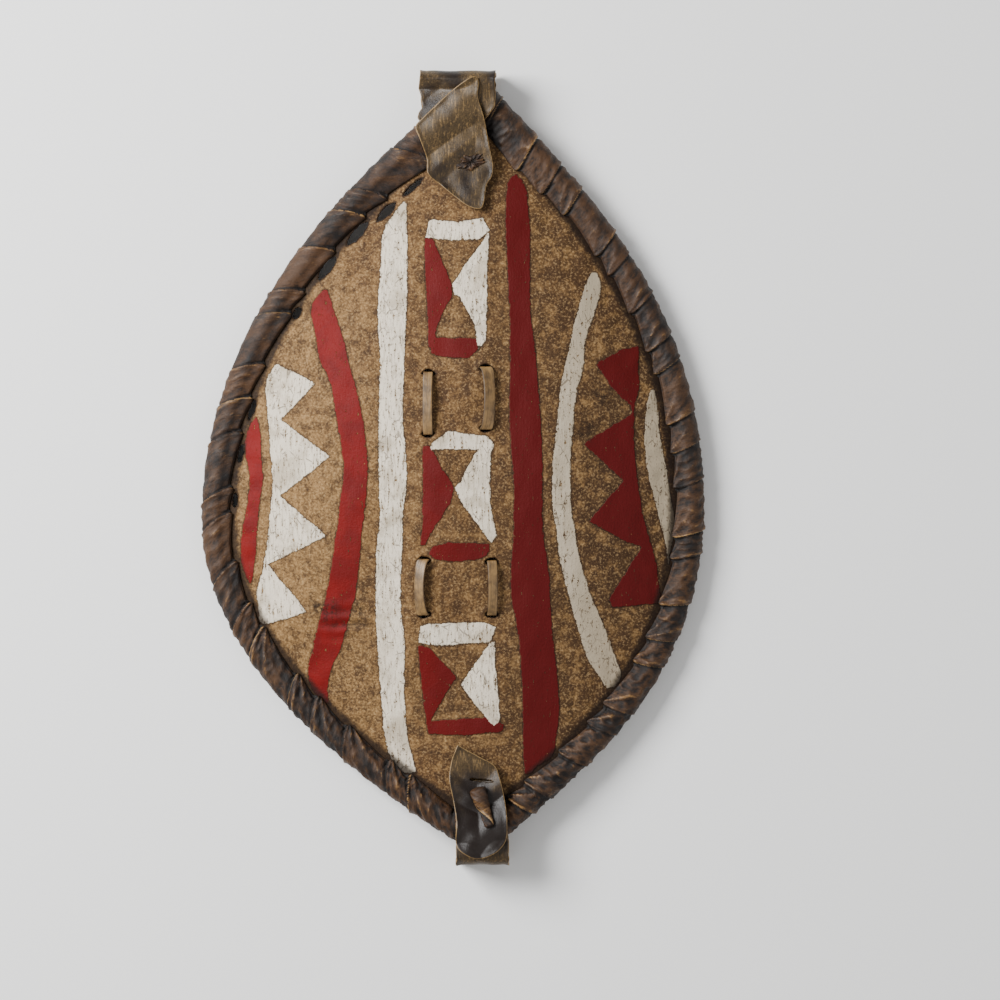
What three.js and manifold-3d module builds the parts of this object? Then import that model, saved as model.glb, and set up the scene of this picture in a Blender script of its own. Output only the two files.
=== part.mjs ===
// A pointed oval hide shield, lying on its back with its painted face up.
//
// A domed sheet of rawhide is lashed into a rim of two bent sticks. A strip of hide is wound round each
// stick and through slits in the edge of the sheet. A carved stave with a bowed hand grip runs down the
// back, tied to the sheet by two thongs, and a folded strap binds each end of the stave to the rim.
//
// Millimetres. +X is the shield's right seen from the front, +Y its top and +Z its face. The origin is on
// the surface that the shield lies on, under the middle of its bounding box.

import * as THREE from 'three';
import { mergeVertices } from 'three/addons/utils/BufferGeometryUtils.js';
import Module from 'manifold-3d';

const wasm = await Module();
wasm.setup();

// ---------------------------------------------------------------- driving dimensions

const GAP = 0.4; // kept between pieces that touch
const HALF_WIDTH = 183.5; // from the middle to the centre line of each rim stick, at its widest
const TOP = new THREE.Vector2(21, 288); // where the sticks' centre lines meet
const BOTTOM = new THREE.Vector2(21, -287);
const HALF_LENGTH = 305.5; // to the outside of the folded straps

const HOOP_RADIUS = 7.2; // the bare rim stick
const WRAP_RADIUS = 11.3; // the stick with its winding
const WRAP_THICKNESS = 2;
const TURN_LIFT = 0.9; // how far the start of a turn stands over the end of the one before
const LIP_SHORT = 9.5; // how far a turn reaches onto the hide at its end and at its slit,
const LIP_LONG = 13.2; // both from the stick's centre line
const LIP_BACK = 11.5;
const TOP_REACH = 7; // how much further the turns nearest the top point reach

const HIDE_THICKNESS = 2.2;
const HIDE_INSET = 8.3; // from the stick's centre line to the edge of the hide
const CROWN = 38; // how far the middle of the hide stands above the rim
const APEX_RISE = 14; // how far the rim climbs from its sides to its two points
const FLAT_SIDE = 60; // half the length of rim that lies flat on the ground

const STAVE_WIDTH = 24;
const STAVE_THICKNESS = 9;
const STAVE_END_THICKNESS = 6;
const STAVE_HALF_LENGTH = 295.5;
const GRIP_Y = -22; // the middle of the hand grip
const GRIP_HALF = 52;
const GRIP_THICKNESS = 13;
const GRIP_UNDERSIDE = 2.5; // height of the grip above the ground

const THONG_WIDTH = 7.6;
const THONG_THICKNESS = 2;
const STRAP_THICKNESS = 2.2;
const STRAP_RIDGE = 13.8; // height of a strap over the rim's centre line, where it crosses the rim

// The centre line of each rim stick is two Bezier curves, from the top point to the widest place and on to
// the bottom point. The handles are offsets from those ends, and the tangent at the widest place is upright.
const LEFT = {
  sign: -1, turns: 22, phase: 0.4, widestY: -39,
  topHandle: [-115, -82], upHandle: 130, downHandle: 117, bottomHandle: [-67, 42],
};
const RIGHT = {
  sign: 1, turns: 23, phase: 2.1, widestY: -30.5,
  topHandle: [75, -82], upHandle: 154, downHandle: 138, bottomHandle: [61, 53],
};

// Colours of the materials.
const RAWHIDE = new THREE.MeshStandardMaterial({ color: 0x8f7452, roughness: 0.72, metalness: 0 });
const DARK_HIDE = new THREE.MeshStandardMaterial({ color: 0x4b3524, roughness: 0.55, metalness: 0 });
const STRAP_HIDE = new THREE.MeshStandardMaterial({ color: 0x55432c, roughness: 0.5, metalness: 0 });
const THONG_HIDE = new THREE.MeshStandardMaterial({ color: 0xa08a66, roughness: 0.6, metalness: 0 });
const STICK_WOOD = new THREE.MeshStandardMaterial({ color: 0x7a5c38, roughness: 0.75, metalness: 0 });
const STAVE_WOOD = new THREE.MeshStandardMaterial({ color: 0x6b4a2c, roughness: 0.6, metalness: 0 });

// ---------------------------------------------------------------- solids

/** A closed geometry with its faces pointing out, from points and triangles. */
function closedGeometry(points, triangles) {
  let sixVolumes = 0;
  for (const [a, b, c] of triangles) {
    sixVolumes += points[a].dot(new THREE.Vector3().crossVectors(points[b], points[c]));
  }
  const index = triangles.flatMap(([a, b, c]) => (sixVolumes < 0 ? [a, c, b] : [a, b, c]));
  const geometry = new THREE.BufferGeometry();
  geometry.setAttribute('position', new THREE.Float32BufferAttribute(points.flatMap((p) => p.toArray()), 3));
  geometry.setIndex(index);
  return geometry;
}

/** Joins rings of points into one solid. outline(ring) lays an end ring flat, so that its cap can be filled. */
function loft(rings, outline, closed = false) {
  const points = rings.flat();
  const size = rings[0].length;
  const triangles = [];
  const last = closed ? rings.length : rings.length - 1;
  for (let i = 0; i < last; i++) {
    const here = i * size;
    const next = ((i + 1) % rings.length) * size;
    for (let j = 0; j < size; j++) {
      const k = (j + 1) % size;
      triangles.push([here + j, next + j, next + k], [here + j, next + k, here + k]);
    }
  }
  if (!closed) {
    const end = (rings.length - 1) * size;
    for (const [a, b, c] of fill(outline(rings[0]))) triangles.push([a, b, c]);
    for (const [a, b, c] of fill(outline(rings.at(-1)))) triangles.push([end + a, end + c, end + b]);
  }
  return closedGeometry(points, triangles);
}

/** Triangles that fill a flat outline, turned the way that suits the first ring of a loft. */
function fill(outline) {
  const faces = THREE.ShapeUtils.triangulateShape(outline, []);
  const turnsLeft = THREE.ShapeUtils.area(outline) > 0;
  return faces.map(([a, b, c]) => {
    const area = outline[b].clone().sub(outline[a]).cross(outline[c].clone().sub(outline[a]));
    return area > 0 === turnsLeft ? [a, b, c] : [a, c, b];
  });
}

/** A manifold solid from a geometry. */
function solid(geometry) {
  const bare = geometry.clone();
  bare.deleteAttribute('normal');
  bare.deleteAttribute('uv');
  const merged = mergeVertices(bare, 1e-4);
  return new wasm.Manifold(new wasm.Mesh({
    numProp: 3,
    vertProperties: new Float32Array(merged.attributes.position.array),
    triVerts: new Uint32Array(merged.index.array),
  }));
}

/** A geometry from a manifold solid. */
function geometryOf(manifold) {
  const mesh = manifold.getMesh();
  const geometry = new THREE.BufferGeometry();
  geometry.setAttribute('position', new THREE.BufferAttribute(new Float32Array(mesh.vertProperties), 3));
  geometry.setIndex(new THREE.BufferAttribute(new Uint32Array(mesh.triVerts), 1));
  return geometry;
}

/** A box with two opposite corners at low and high. */
function block(low, high) {
  const size = new THREE.Vector3().subVectors(high, low);
  const box = new THREE.BoxGeometry(size.x, size.y, size.z);
  return solid(box.translate(...new THREE.Vector3().addVectors(low, high).multiplyScalar(0.5)));
}

const smooth = (t) => THREE.MathUtils.smoothstep(t, 0, 1);

// ---------------------------------------------------------------- the rim's line and the hide's surface

/** The centre line of one rim stick, seen from above. */
function bow(side) {
  const widest = new THREE.Vector2(side.sign * HALF_WIDTH, side.widestY);
  const beside = (point, x, y) => point.clone().add(new THREE.Vector2(x, y));
  const line = new THREE.CurvePath();
  line.add(new THREE.CubicBezierCurve(
    TOP, beside(TOP, ...side.topHandle), beside(widest, 0, side.upHandle), widest));
  line.add(new THREE.CubicBezierCurve(
    widest, beside(widest, 0, -side.downHandle), beside(BOTTOM, ...side.bottomHandle), BOTTOM));
  return line;
}

for (const side of [LEFT, RIGHT]) {
  side.line = bow(side);
  side.samples = side.line.getSpacedPoints(240);
}

/** Height of the rim's centre line. */
function rimHeight(y) {
  const beyond = Math.max(0, Math.abs(y) - FLAT_SIDE) / (TOP.y - FLAT_SIDE);
  return WRAP_RADIUS + APEX_RISE * beyond ** 2;
}

/** Where a rim stick's centre line crosses a height on the shield. */
function bowX(side, y) {
  const samples = side.samples;
  if (y >= samples[0].y || y <= samples.at(-1).y) return TOP.x;
  const i = samples.findIndex((p) => p.y <= y);
  const share = (samples[i - 1].y - y) / (samples[i - 1].y - samples[i].y);
  return THREE.MathUtils.lerp(samples[i - 1].x, samples[i].x, share);
}

/** Height of the middle of the hide's thickness. */
function hideHeight(x, y) {
  const along = THREE.MathUtils.clamp((2 * y - TOP.y - BOTTOM.y) / (TOP.y - BOTTOM.y), -1, 1);
  const left = bowX(LEFT, y);
  const right = bowX(RIGHT, y);
  const across = THREE.MathUtils.clamp((2 * x - left - right) / Math.max(right - left, 1), -1, 1);
  return rimHeight(y) + CROWN * (1 - along ** 2) ** 1.5 * (1 - across ** 2);
}

/** A place on a rim stick: its point, the direction inwards and its height. u runs from 0 at the top to 1. */
function rimStation(side, u) {
  const inside = THREE.MathUtils.clamp(u, 0, 1);
  const point = side.line.getPointAt(inside);
  const tangent = side.line.getTangentAt(inside);
  point.addScaledVector(tangent, (u - inside) * side.line.getLength());
  const inward = new THREE.Vector2(tangent.y, -tangent.x).multiplyScalar(side.sign);
  return { point, inward, height: rimHeight(point.y) };
}

/** A point beside a rim stick: in towards the middle, and up from its centre line, but not below the ground. */
function beside(station, inwards, up) {
  const flat = station.point.clone().addScaledVector(station.inward, inwards);
  return new THREE.Vector3(flat.x, flat.y, Math.max(0, station.height + up));
}

/** Lays a ring of points beside a rim stick flat, as inwards and up. */
function sectionOf(station) {
  return (ring) => ring.map((p) => new THREE.Vector2(
    station.inward.dot(new THREE.Vector2(p.x, p.y).sub(station.point)), p.z));
}

/** Cuts one side's rim pieces where they meet the other side's, and blunts both points of the shield. */
function mitre(geometry, side) {
  const reach = 60;
  const blunt = HALF_LENGTH - STRAP_THICKNESS - 2 * GAP;
  const box = (x1, x2, y1, y2) => block(new THREE.Vector3(x1, y1, -reach), new THREE.Vector3(x2, y2, 2 * reach));
  let cut = solid(geometry);
  for (const { x, y } of [TOP, BOTTOM]) {
    const across = side.sign < 0 ? [x - GAP / 2, x + reach] : [x - reach, x + GAP / 2];
    cut = cut.subtract(box(...across, y - reach, y + reach));
    cut = cut.subtract(box(x - reach, x + reach, ...(y > 0 ? [blunt, y + reach] : [y - reach, -blunt])));
  }
  return geometryOf(cut);
}

const BEYOND = 0.022; // how far a stick runs past the point where it is mitred, as a share of its length

/** One bent stick of the rim. */
function rimStick(side) {
  const corners = 6;
  const steps = 40;
  const rings = [];
  for (let i = 0; i <= steps; i++) {
    const station = rimStation(side, THREE.MathUtils.lerp(-BEYOND, 1 + BEYOND, i / steps));
    rings.push(Array.from({ length: corners }, (_, j) => {
      const angle = (2 * Math.PI * (j + 0.5)) / corners;
      return beside(station, HOOP_RADIUS * Math.cos(angle), HOOP_RADIUS * Math.sin(angle));
    }));
  }
  const ends = [rimStation(side, 0), rimStation(side, 1)];
  const geometry = loft(rings, (ring) => sectionOf(ring === rings[0] ? ends[0] : ends[1])(ring));
  return mitre(geometry, side);
}

// ---------------------------------------------------------------- the wound strip of hide

/** Where a turn of the winding starts, as a share of the stick's length. The turns are a little uneven. */
function turnStart(side, turn) {
  return (turn + 0.22 * Math.sin(2.4 * turn + side.phase)) / side.turns;
}

/** The section of the winding: a C that clasps the edge of the hide. lift raises it, and lip is its reach. */
function windingRing(station, lift, lip) {
  const outer = WRAP_RADIUS + lift;
  const inner = HOOP_RADIUS + GAP + 1.6;
  const hide = (inwards) => {
    const flat = station.point.clone().addScaledVector(station.inward, inwards);
    return hideHeight(flat.x, flat.y) - station.height;
  };
  const clear = HIDE_THICKNESS / 2 + GAP + (lip > LIP_LONG ? 0.8 : 0.3);
  const arc = (radius, degrees) => degrees.map((d) => {
    const angle = THREE.MathUtils.degToRad(d);
    return [radius * Math.cos(angle), radius * Math.sin(angle)];
  });
  const section = [
    [lip, hide(lip) + clear],
    [HIDE_INSET, hide(HIDE_INSET) + clear],
    ...arc(inner, [78, 128, 178, 228, 278, 326]),
    [HIDE_INSET, hide(HIDE_INSET) - clear],
    [LIP_BACK, hide(LIP_BACK) - clear],
    [LIP_BACK, hide(LIP_BACK) - clear - WRAP_THICKNESS],
    ...arc(outer, [325]),
    [outer * 0.4, -outer],
    [-outer * 0.4, -outer],
    ...arc(outer, [207, 162, 114, 68]),
    [lip, hide(lip) + clear + WRAP_THICKNESS],
  ];
  return section.map(([inwards, up]) => beside(station, inwards, up));
}

/** The strip of hide wound round one stick. Each turn starts wide at its slit and runs under the next. */
function winding(side) {
  const steps = [[0, 1], [0.96, 0]]; // share of the turn, share of the lift
  const rings = [];
  const add = (u, share) => {
    const reach = THREE.MathUtils.lerp(LIP_SHORT, LIP_LONG, share) + TOP_REACH * (1 - smooth((u - 0.08) / 0.12));
    rings.push(windingRing(rimStation(side, u), TURN_LIFT * share, reach));
  };
  add(-BEYOND, 0.5);
  for (let turn = 0; turn < side.turns; turn++) {
    const start = turnStart(side, turn);
    const length = turnStart(side, turn + 1) - start;
    for (const [place, share] of steps) add(start + place * length, share);
  }
  add(1 + BEYOND, 0.5);
  const ends = [rimStation(side, 0), rimStation(side, 1)];
  const geometry = loft(rings, (ring) => sectionOf(ring === rings[0] ? ends[0] : ends[1])(ring));
  return mitre(geometry, side);
}

// ---------------------------------------------------------------- the sheet of hide

// The thongs' legs on the face: each leg's x, and the y of the two holes that it passes through.
const UPPER_LASHING = { legs: [{ x: -18.6, high: 72.5, low: 26 }, { x: 25.5, high: 76.5, low: 30 }] };
const LOWER_LASHING = { legs: [{ x: -22, high: -71, low: -112.5 }, { x: 30, high: -72, low: -112.5 }] };
const HOLE_WIDTH = 9.4;
const HOLE_LENGTH = 5.4;

// Slits beside the winding that have pulled open: the place along the left stick, the distance inwards
// from the stick, the length and the width.
const OPEN_SLITS = [
  [0.118, 23, 19, 3.2], [0.158, 22.3, 18, 5.2], [0.196, 17, 22, 5.8], [0.246, 15.6, 21, 6],
  [0.305, 15.6, 9, 5], [0.422, 15.2, 17, 2.8], [0.472, 15, 15, 3], [0.525, 15, 11.5, 2.8],
];

/** The domed sheet of hide, with the thongs' holes and the open slits cut through it. */
function hideSheet() {
  const rows = 28;
  const columns = 14;
  const tip = 13; // how far the ends of the sheet stop short of the rim's points
  const rings = [];
  for (let i = 0; i <= rows; i++) {
    const share = (1 - Math.cos((Math.PI * i) / rows)) / 2;
    const y = THREE.MathUtils.lerp(TOP.y - tip, BOTTOM.y + tip, share);
    const [left, right] = [LEFT, RIGHT].map((side) => edgeOfHide(side, y));
    const row = Array.from({ length: columns + 1 }, (_, j) => left.clone().lerp(right, j / columns));
    const surface = (up) => row.map((p) => new THREE.Vector3(p.x, p.y, hideHeight(p.x, p.y) + up));
    rings.push([...surface(HIDE_THICKNESS / 2), ...surface(-HIDE_THICKNESS / 2).reverse()]);
  }
  let sheet = solid(loft(rings, (ring) => ring.map((p) => new THREE.Vector2(p.x, p.z))));
  for (const { legs } of [UPPER_LASHING, LOWER_LASHING]) {
    for (const { x, high, low } of legs) {
      for (const y of [high, low]) sheet = sheet.subtract(slot(x, y, HOLE_WIDTH, HOLE_LENGTH, 0));
    }
  }
  for (const [u, inwards, length, width] of OPEN_SLITS) {
    const station = rimStation(LEFT, u);
    const centre = station.point.clone().addScaledVector(station.inward, inwards);
    const turn = Math.atan2(station.inward.y, station.inward.x) + Math.PI / 2;
    sheet = sheet.subtract(slot(centre.x, centre.y, length, width, turn));
  }
  return geometryOf(sheet);
}

/** The edge of the hide level with a height on the shield. */
function edgeOfHide(side, y) {
  let low = 0;
  let high = 1;
  const point = (u) => {
    const station = rimStation(side, u);
    return station.point.clone().addScaledVector(station.inward, HIDE_INSET);
  };
  for (let i = 0; i < 30; i++) {
    const middle = (low + high) / 2;
    if (point(middle).y > y) low = middle;
    else high = middle;
  }
  return point((low + high) / 2);
}

/** A tool that cuts a hole with round ends through the sheet. */
function slot(x, y, length, width, turn) {
  const straight = Math.max(0.1, length - width) / 2;
  const outline = new THREE.Shape();
  outline.absarc(straight, 0, width / 2, -Math.PI / 2, Math.PI / 2, false);
  outline.absarc(-straight, 0, width / 2, Math.PI / 2, Math.PI * 1.5, false);
  const tool = new THREE.ExtrudeGeometry(outline, { depth: 100, bevelEnabled: false, curveSegments: 3 });
  return solid(tool.rotateZ(turn).translate(x, y, -10));
}

// ---------------------------------------------------------------- the stave and its thongs

/** The stave's sideways place: a natural stick, not quite straight. */
function staveX(y) {
  const share = (STAVE_HALF_LENGTH - y) / (2 * STAVE_HALF_LENGTH);
  return 3 + 19 * smooth((share - 0.58) / 0.42);
}

/** The stave's thickness, and the height of its middle. */
function staveProfile(y) {
  const grip = 1 - smooth((Math.abs(y - GRIP_Y) / GRIP_HALF - 0.34) / 0.66);
  const end = smooth((Math.abs(y) - 200) / 45);
  const arm = THREE.MathUtils.lerp(STAVE_THICKNESS, STAVE_END_THICKNESS, end);
  const thickness = THREE.MathUtils.lerp(arm, GRIP_THICKNESS, grip);
  const behindHide = hideHeight(staveX(y), y) - HIDE_THICKNESS / 2 - 1.2 - arm / 2;
  const underRim = STRAP_THICKNESS + GAP + arm / 2;
  const onGrip = GRIP_UNDERSIDE + GRIP_THICKNESS / 2;
  const armHeight = THREE.MathUtils.lerp(behindHide, underRim, end);
  return { thickness, height: THREE.MathUtils.lerp(armHeight, onGrip, grip), grip };
}

/** The carved stave, in one piece with its bowed hand grip. */
function stave() {
  const places = [];
  for (let i = 0; i <= 9; i++) places.push(THREE.MathUtils.lerp(STAVE_HALF_LENGTH, 32, i / 9));
  for (let i = 1; i < 18; i++) places.push(THREE.MathUtils.lerp(32, -76, i / 18));
  for (let i = 0; i <= 8; i++) places.push(THREE.MathUtils.lerp(-76, -STAVE_HALF_LENGTH, i / 8));
  const middle = (y) => new THREE.Vector3(staveX(y), y, staveProfile(y).height);
  const rings = places.map((y) => {
    const { thickness, grip } = staveProfile(y);
    const ahead = middle(y - 1).sub(middle(y + 1)).normalize();
    const across = new THREE.Vector3(1, 0, 0);
    const up = new THREE.Vector3().crossVectors(ahead, across).normalize();
    const halfWidth = (STAVE_WIDTH / 2) * (1 - 0.12 * grip);
    const bevel = THREE.MathUtils.lerp(1.6, 4, grip);
    const corner = (x, z) => middle(y).addScaledVector(across, x).addScaledVector(up, z);
    const w = halfWidth;
    const t = thickness / 2;
    return [
      corner(w, t - bevel), corner(w - bevel, t), corner(bevel - w, t), corner(-w, t - bevel),
      corner(-w, bevel - t), corner(bevel - w, -t), corner(w - bevel, -t), corner(w, bevel - t),
    ];
  });
  return loft(rings, (ring) => ring.map((p) => new THREE.Vector2(p.x, p.z)));
}

/** A thong that stands on the face as two upright legs, and crosses behind the stave between its holes. */
function lashing({ legs: [left, right] }) {
  const half = THONG_THICKNESS / 2;
  const face = (x, y) => hideHeight(x, y) + HIDE_THICKNESS / 2;
  const behindStave = (middleY) => Math.min(...[-1, 0, 1].map((edge) => {
    const { thickness, height } = staveProfile(middleY + edge * THONG_WIDTH * 0.75);
    return height - thickness / 2 - GAP - half - 0.3;
  }));
  const rings = [];
  // A ring across the thong: its middle, the direction of its width and the direction of its thickness.
  const add = (x, y, z, width, normal) => {
    const w = width.clone().multiplyScalar(THONG_WIDTH / 2);
    const n = normal.clone().normalize().multiplyScalar(half);
    const centre = new THREE.Vector3(x, y, z);
    rings.push([[1, 1], [-1, 1], [-1, -1], [1, -1]].map(([a, b]) => (
      centre.clone().addScaledVector(w, a).addScaledVector(n, b))));
  };
  const sideways = new THREE.Vector3(1, 0, 0);
  const lengthways = new THREE.Vector3(0, 1, 0);
  // Down one leg: up through the high hole, over the face in a low loop, and down through the low hole.
  const leg = ({ x, high, low }, downwards) => {
    const width = sideways.clone().multiplyScalar(downwards ? 1 : -1);
    const steps = 8;
    const stretch = [];
    for (let i = 0; i <= steps; i++) {
      const angle = (Math.PI * i) / steps;
      const y = THREE.MathUtils.lerp(high, low, (1 - Math.cos(angle)) / 2);
      stretch.push([y, face(x, y) + 1.6 + 3.6 * Math.sin(angle), Math.cos(angle), Math.sin(angle)]);
    }
    for (const [y, z, ny, nz] of downwards ? stretch : stretch.reverse()) {
      add(x, y, z, width, new THREE.Vector3(0, ny, nz));
    }
  };
  // Behind the hide, from one leg's hole to the other's and under the stave, where the width is lengthways.
  const crossing = (from, fromY, to, toY, outwards) => {
    const step = Math.sign(to.x - from.x);
    const under = Math.min(behindStave(fromY), behindStave(toY));
    const edge = STAVE_WIDTH / 2 + 2.2;
    const hole = (x, y, width) => add(x, y, face(x, y) - HIDE_THICKNESS - 1, width, outwards);
    const corner = (x, y) => add(
      x, y, under, lengthways.clone().multiplyScalar(-step), new THREE.Vector3(0, 0, -1));
    hole(from.x, fromY, sideways.clone().multiplyScalar(step));
    corner(staveX(fromY) - step * edge, fromY);
    corner(staveX(toY) + step * edge, toY);
    hole(to.x, toY, sideways.clone().multiplyScalar(-step));
  };
  leg(left, true);
  crossing(left, left.low, right, right.low, lengthways.clone().negate());
  leg(right, false);
  crossing(right, right.high, left, left.high, lengthways);
  return loft(rings, null, true);
}

// ---------------------------------------------------------------- the folded straps at the two points

/** How far a place is from the nearer rim stick's centre line. */
function rimDistance(x, y) {
  const here = new THREE.Vector2(x, y);
  return Math.sqrt(Math.min(...[LEFT, RIGHT].flatMap((side) => (
    side.samples.map((p) => p.distanceToSquared(here))))));
}

/** Height of a strap that lies over the hide and bends over the wound rim. */
function strapHeight(x, y) {
  const skirt = 38;
  const distance = rimDistance(x, y);
  const lips = (WRAP_THICKNESS + 2.2) * (1 - smooth((distance - 23) / 13));
  const overHide = hideHeight(x, y) + HIDE_THICKNESS / 2 + 2 * GAP + lips;
  const overRim = rimHeight(y) + STRAP_RIDGE * (1 - smooth(distance / skirt)) + GAP;
  return Math.max(overHide, overRim) + STRAP_THICKNESS / 2;
}

// Each strap's outline on the face: y, then the x of its two edges.
const TOP_STRAP = {
  sign: 1,
  front: [
    [199, 13, 21], [206, 4.5, 24], [216, -8, 25.5], [228, -20, 31],
    [240, -22, 30], [251, -26, 28], [262, -29, 27], [276, -27, 29],
  ],
  fold: [-25, 33],
  back: [[275, -24, 31], [242, -20, 28]],
};
const BOTTOM_STRAP = {
  sign: -1,
  front: [
    [-215.5, 4.5, 8.5], [-223.5, 3, 21], [-231, -1, 32], [-238, -2.5, 36],
    [-250, 0, 38.5], [-262, 2, 40.5], [-275, 3, 42],
  ],
  fold: [2.5, 43],
  back: [[-275, 3, 42], [-242, 6, 38]],
};

/** A strap that lies on the face, folds over the end of the stave and runs back underneath it. */
function strap({ sign, front, fold, back }) {
  const across = 4;
  const radius = 8;
  const half = STRAP_THICKNESS / 2;
  const shoulder = HALF_LENGTH - half - radius;
  const frontHeight = rimHeight(TOP.y) + STRAP_RIDGE + GAP + half;
  const rings = [];
  // A ring across the strap, with its thickness in the upright plane along the shield.
  const add = (y, heightAt, [left, right], angle) => {
    const normal = new THREE.Vector3(0, sign * Math.cos(angle), Math.sin(angle)).multiplyScalar(half);
    const line = Array.from({ length: across + 1 }, (_, i) => {
      const x = THREE.MathUtils.lerp(left, right, i / across);
      return new THREE.Vector3(x, y, heightAt(x));
    });
    rings.push([
      ...line.map((p) => p.clone().add(normal)),
      ...line.map((p) => p.clone().sub(normal)).reverse(),
    ]);
  };
  for (const [y, left, right] of front) add(y, (x) => strapHeight(x, y), [left, right], Math.PI / 2);
  for (const [centre, from, to] of [[frontHeight - radius, 90, 0], [half + radius, 0, -90]]) {
    for (let i = 0; i <= 3; i++) {
      const angle = THREE.MathUtils.degToRad(THREE.MathUtils.lerp(from, to, i / 3));
      add(sign * (shoulder + radius * Math.cos(angle)), () => centre + radius * Math.sin(angle), fold, angle);
    }
  }
  for (const [y, left, right] of back) add(y, () => half, [left, right], -Math.PI / 2);
  return loft(rings, (ring) => ring.map((p) => new THREE.Vector2(p.x, p.z)));
}

/** Height of the upper face of a strap. */
const onStrap = (x, y) => strapHeight(x, y) + STRAP_THICKNESS / 2 + GAP;

/** The rolled thong that pins the bottom strap, thick at its curled head and thin at its tail. */
function toggle() {
  const head = new THREE.Vector2(12, -247);
  const tail = new THREE.Vector2(28.5, -275);
  const sizes = [[0, 3.4], [0.12, 5.4], [0.45, 4.6], [0.8, 3.4], [1, 2.6]]; // share of the length, radius
  const along = tail.clone().sub(head).normalize();
  const rings = sizes.map(([share, radius]) => {
    const centre = head.clone().lerp(tail, share);
    const base = Math.max(...[-1, 1].map((s) => onStrap(centre.x - s * along.y * radius, centre.y)));
    return Array.from({ length: 7 }, (_, j) => {
      const angle = (2 * Math.PI * j) / 7;
      const sideways = radius * Math.cos(angle);
      return new THREE.Vector3(
        centre.x - along.y * sideways,
        centre.y + along.x * sideways,
        Math.max(base + 1.6, base + 1.6 + radius * (1 + Math.sin(angle)) * 0.7));
    });
  });
  return loft(rings, (ring) => ring.map((p) => new THREE.Vector2(p.x * along.y - p.y * along.x, p.z)));
}

/** The shrunken knot that pins the top strap. */
function knot() {
  const centre = new THREE.Vector2(14, 235);
  const size = new THREE.Vector3(9.5, 5.2, 2.8);
  const lump = new THREE.IcosahedronGeometry(1, 1);
  lump.scale(size.x, size.y, size.z).rotateZ(0.28);
  const rest = Math.max(...[-9, -5, 0, 5, 9].flatMap((dx) => [-6, 0, 6].map((dy) => (
    onStrap(centre.x + dx, centre.y + dy)))));
  return mergeVertices(bareOf(lump.translate(centre.x, centre.y, rest + size.z)), 1e-4);
}

/** A geometry with nothing but its points and faces. */
function bareOf(geometry) {
  geometry.deleteAttribute('normal');
  geometry.deleteAttribute('uv');
  return geometry;
}

// ---------------------------------------------------------------- the shield

const shield = new THREE.Group();

/** Adds one named piece to the shield. */
function piece(name, geometry, material) {
  const mesh = new THREE.Mesh(geometry, material);
  mesh.name = name;
  shield.add(mesh);
}

piece('hide_sheet', hideSheet(), RAWHIDE);
piece('rim_stick_left', rimStick(LEFT), STICK_WOOD);
piece('rim_stick_right', rimStick(RIGHT), STICK_WOOD);
piece('rim_winding_left', winding(LEFT), DARK_HIDE);
piece('rim_winding_right', winding(RIGHT), DARK_HIDE);
piece('grip_stave', stave(), STAVE_WOOD);
piece('upper_lashing', lashing(UPPER_LASHING), THONG_HIDE);
piece('lower_lashing', lashing(LOWER_LASHING), THONG_HIDE);
piece('top_strap', strap(TOP_STRAP), STRAP_HIDE);
piece('top_knot', knot(), DARK_HIDE);
piece('bottom_strap', strap(BOTTOM_STRAP), STRAP_HIDE);
piece('bottom_toggle', toggle(), DARK_HIDE);

export default shield;
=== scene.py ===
"""Dresses the hide shield: painted rawhide, a hide-wound rim, folded straps, thongs and a carved stave.

Shapes are worked out in millimetres, in the model's own frame: +X is the shield's right seen from the front,
+Y its top and +Z out of its painted face. The shield lies on its back on the floor at height 0.
"""
import logging
import math
from collections.abc import Callable, Sequence
from dataclasses import dataclass, field
from enum import Enum

import bmesh
import bpy
import numpy as np
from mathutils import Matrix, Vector


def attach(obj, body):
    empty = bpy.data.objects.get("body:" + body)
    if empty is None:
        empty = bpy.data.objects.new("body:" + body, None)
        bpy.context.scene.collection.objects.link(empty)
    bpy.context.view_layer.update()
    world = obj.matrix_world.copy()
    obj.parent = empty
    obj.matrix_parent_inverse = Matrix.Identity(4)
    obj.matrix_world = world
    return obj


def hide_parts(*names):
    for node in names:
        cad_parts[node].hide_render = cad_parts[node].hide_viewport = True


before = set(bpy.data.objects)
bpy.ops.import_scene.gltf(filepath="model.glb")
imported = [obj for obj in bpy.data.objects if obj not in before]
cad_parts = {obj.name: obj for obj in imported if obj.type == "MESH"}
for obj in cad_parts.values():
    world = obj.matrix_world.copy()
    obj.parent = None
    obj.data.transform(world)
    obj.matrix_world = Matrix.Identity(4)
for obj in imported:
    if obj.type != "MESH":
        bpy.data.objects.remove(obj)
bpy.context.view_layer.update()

LOG = logging.getLogger("hide_shield")
MM = 0.001
Array = np.ndarray
Pair = tuple[float, float]

# ---------------------------------------------------------------- the shield's driving dimensions

HALF_WIDTH = 183.5  # from the middle to the centre line of each rim stick, at its widest
TOP = np.array([21.0, 288.0])  # where the sticks' centre lines meet
BOTTOM = np.array([21.0, -287.0])
HALF_LENGTH = 305.5  # to the outside of the folded straps
WRAP_RADIUS = 11.3  # a rim stick with its winding
HIDE_THICKNESS = 2.2
HIDE_INSET = 8.3  # from a stick's centre line to the edge of the hide
CROWN = 38.0  # how far the middle of the hide stands above the rim
APEX_RISE = 14.0
FLAT_SIDE = 60.0
STRAP_THICKNESS = 2.2
STRAP_RIDGE = 13.8


# ---------------------------------------------------------------- curves, unevenness and meshes


def smoothstep(t: Array | float) -> Array:
    """A smooth rise from 0 to 1 as t goes from 0 to 1."""
    t = np.clip(t, 0.0, 1.0)
    return t * t * (3.0 - 2.0 * t)


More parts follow.
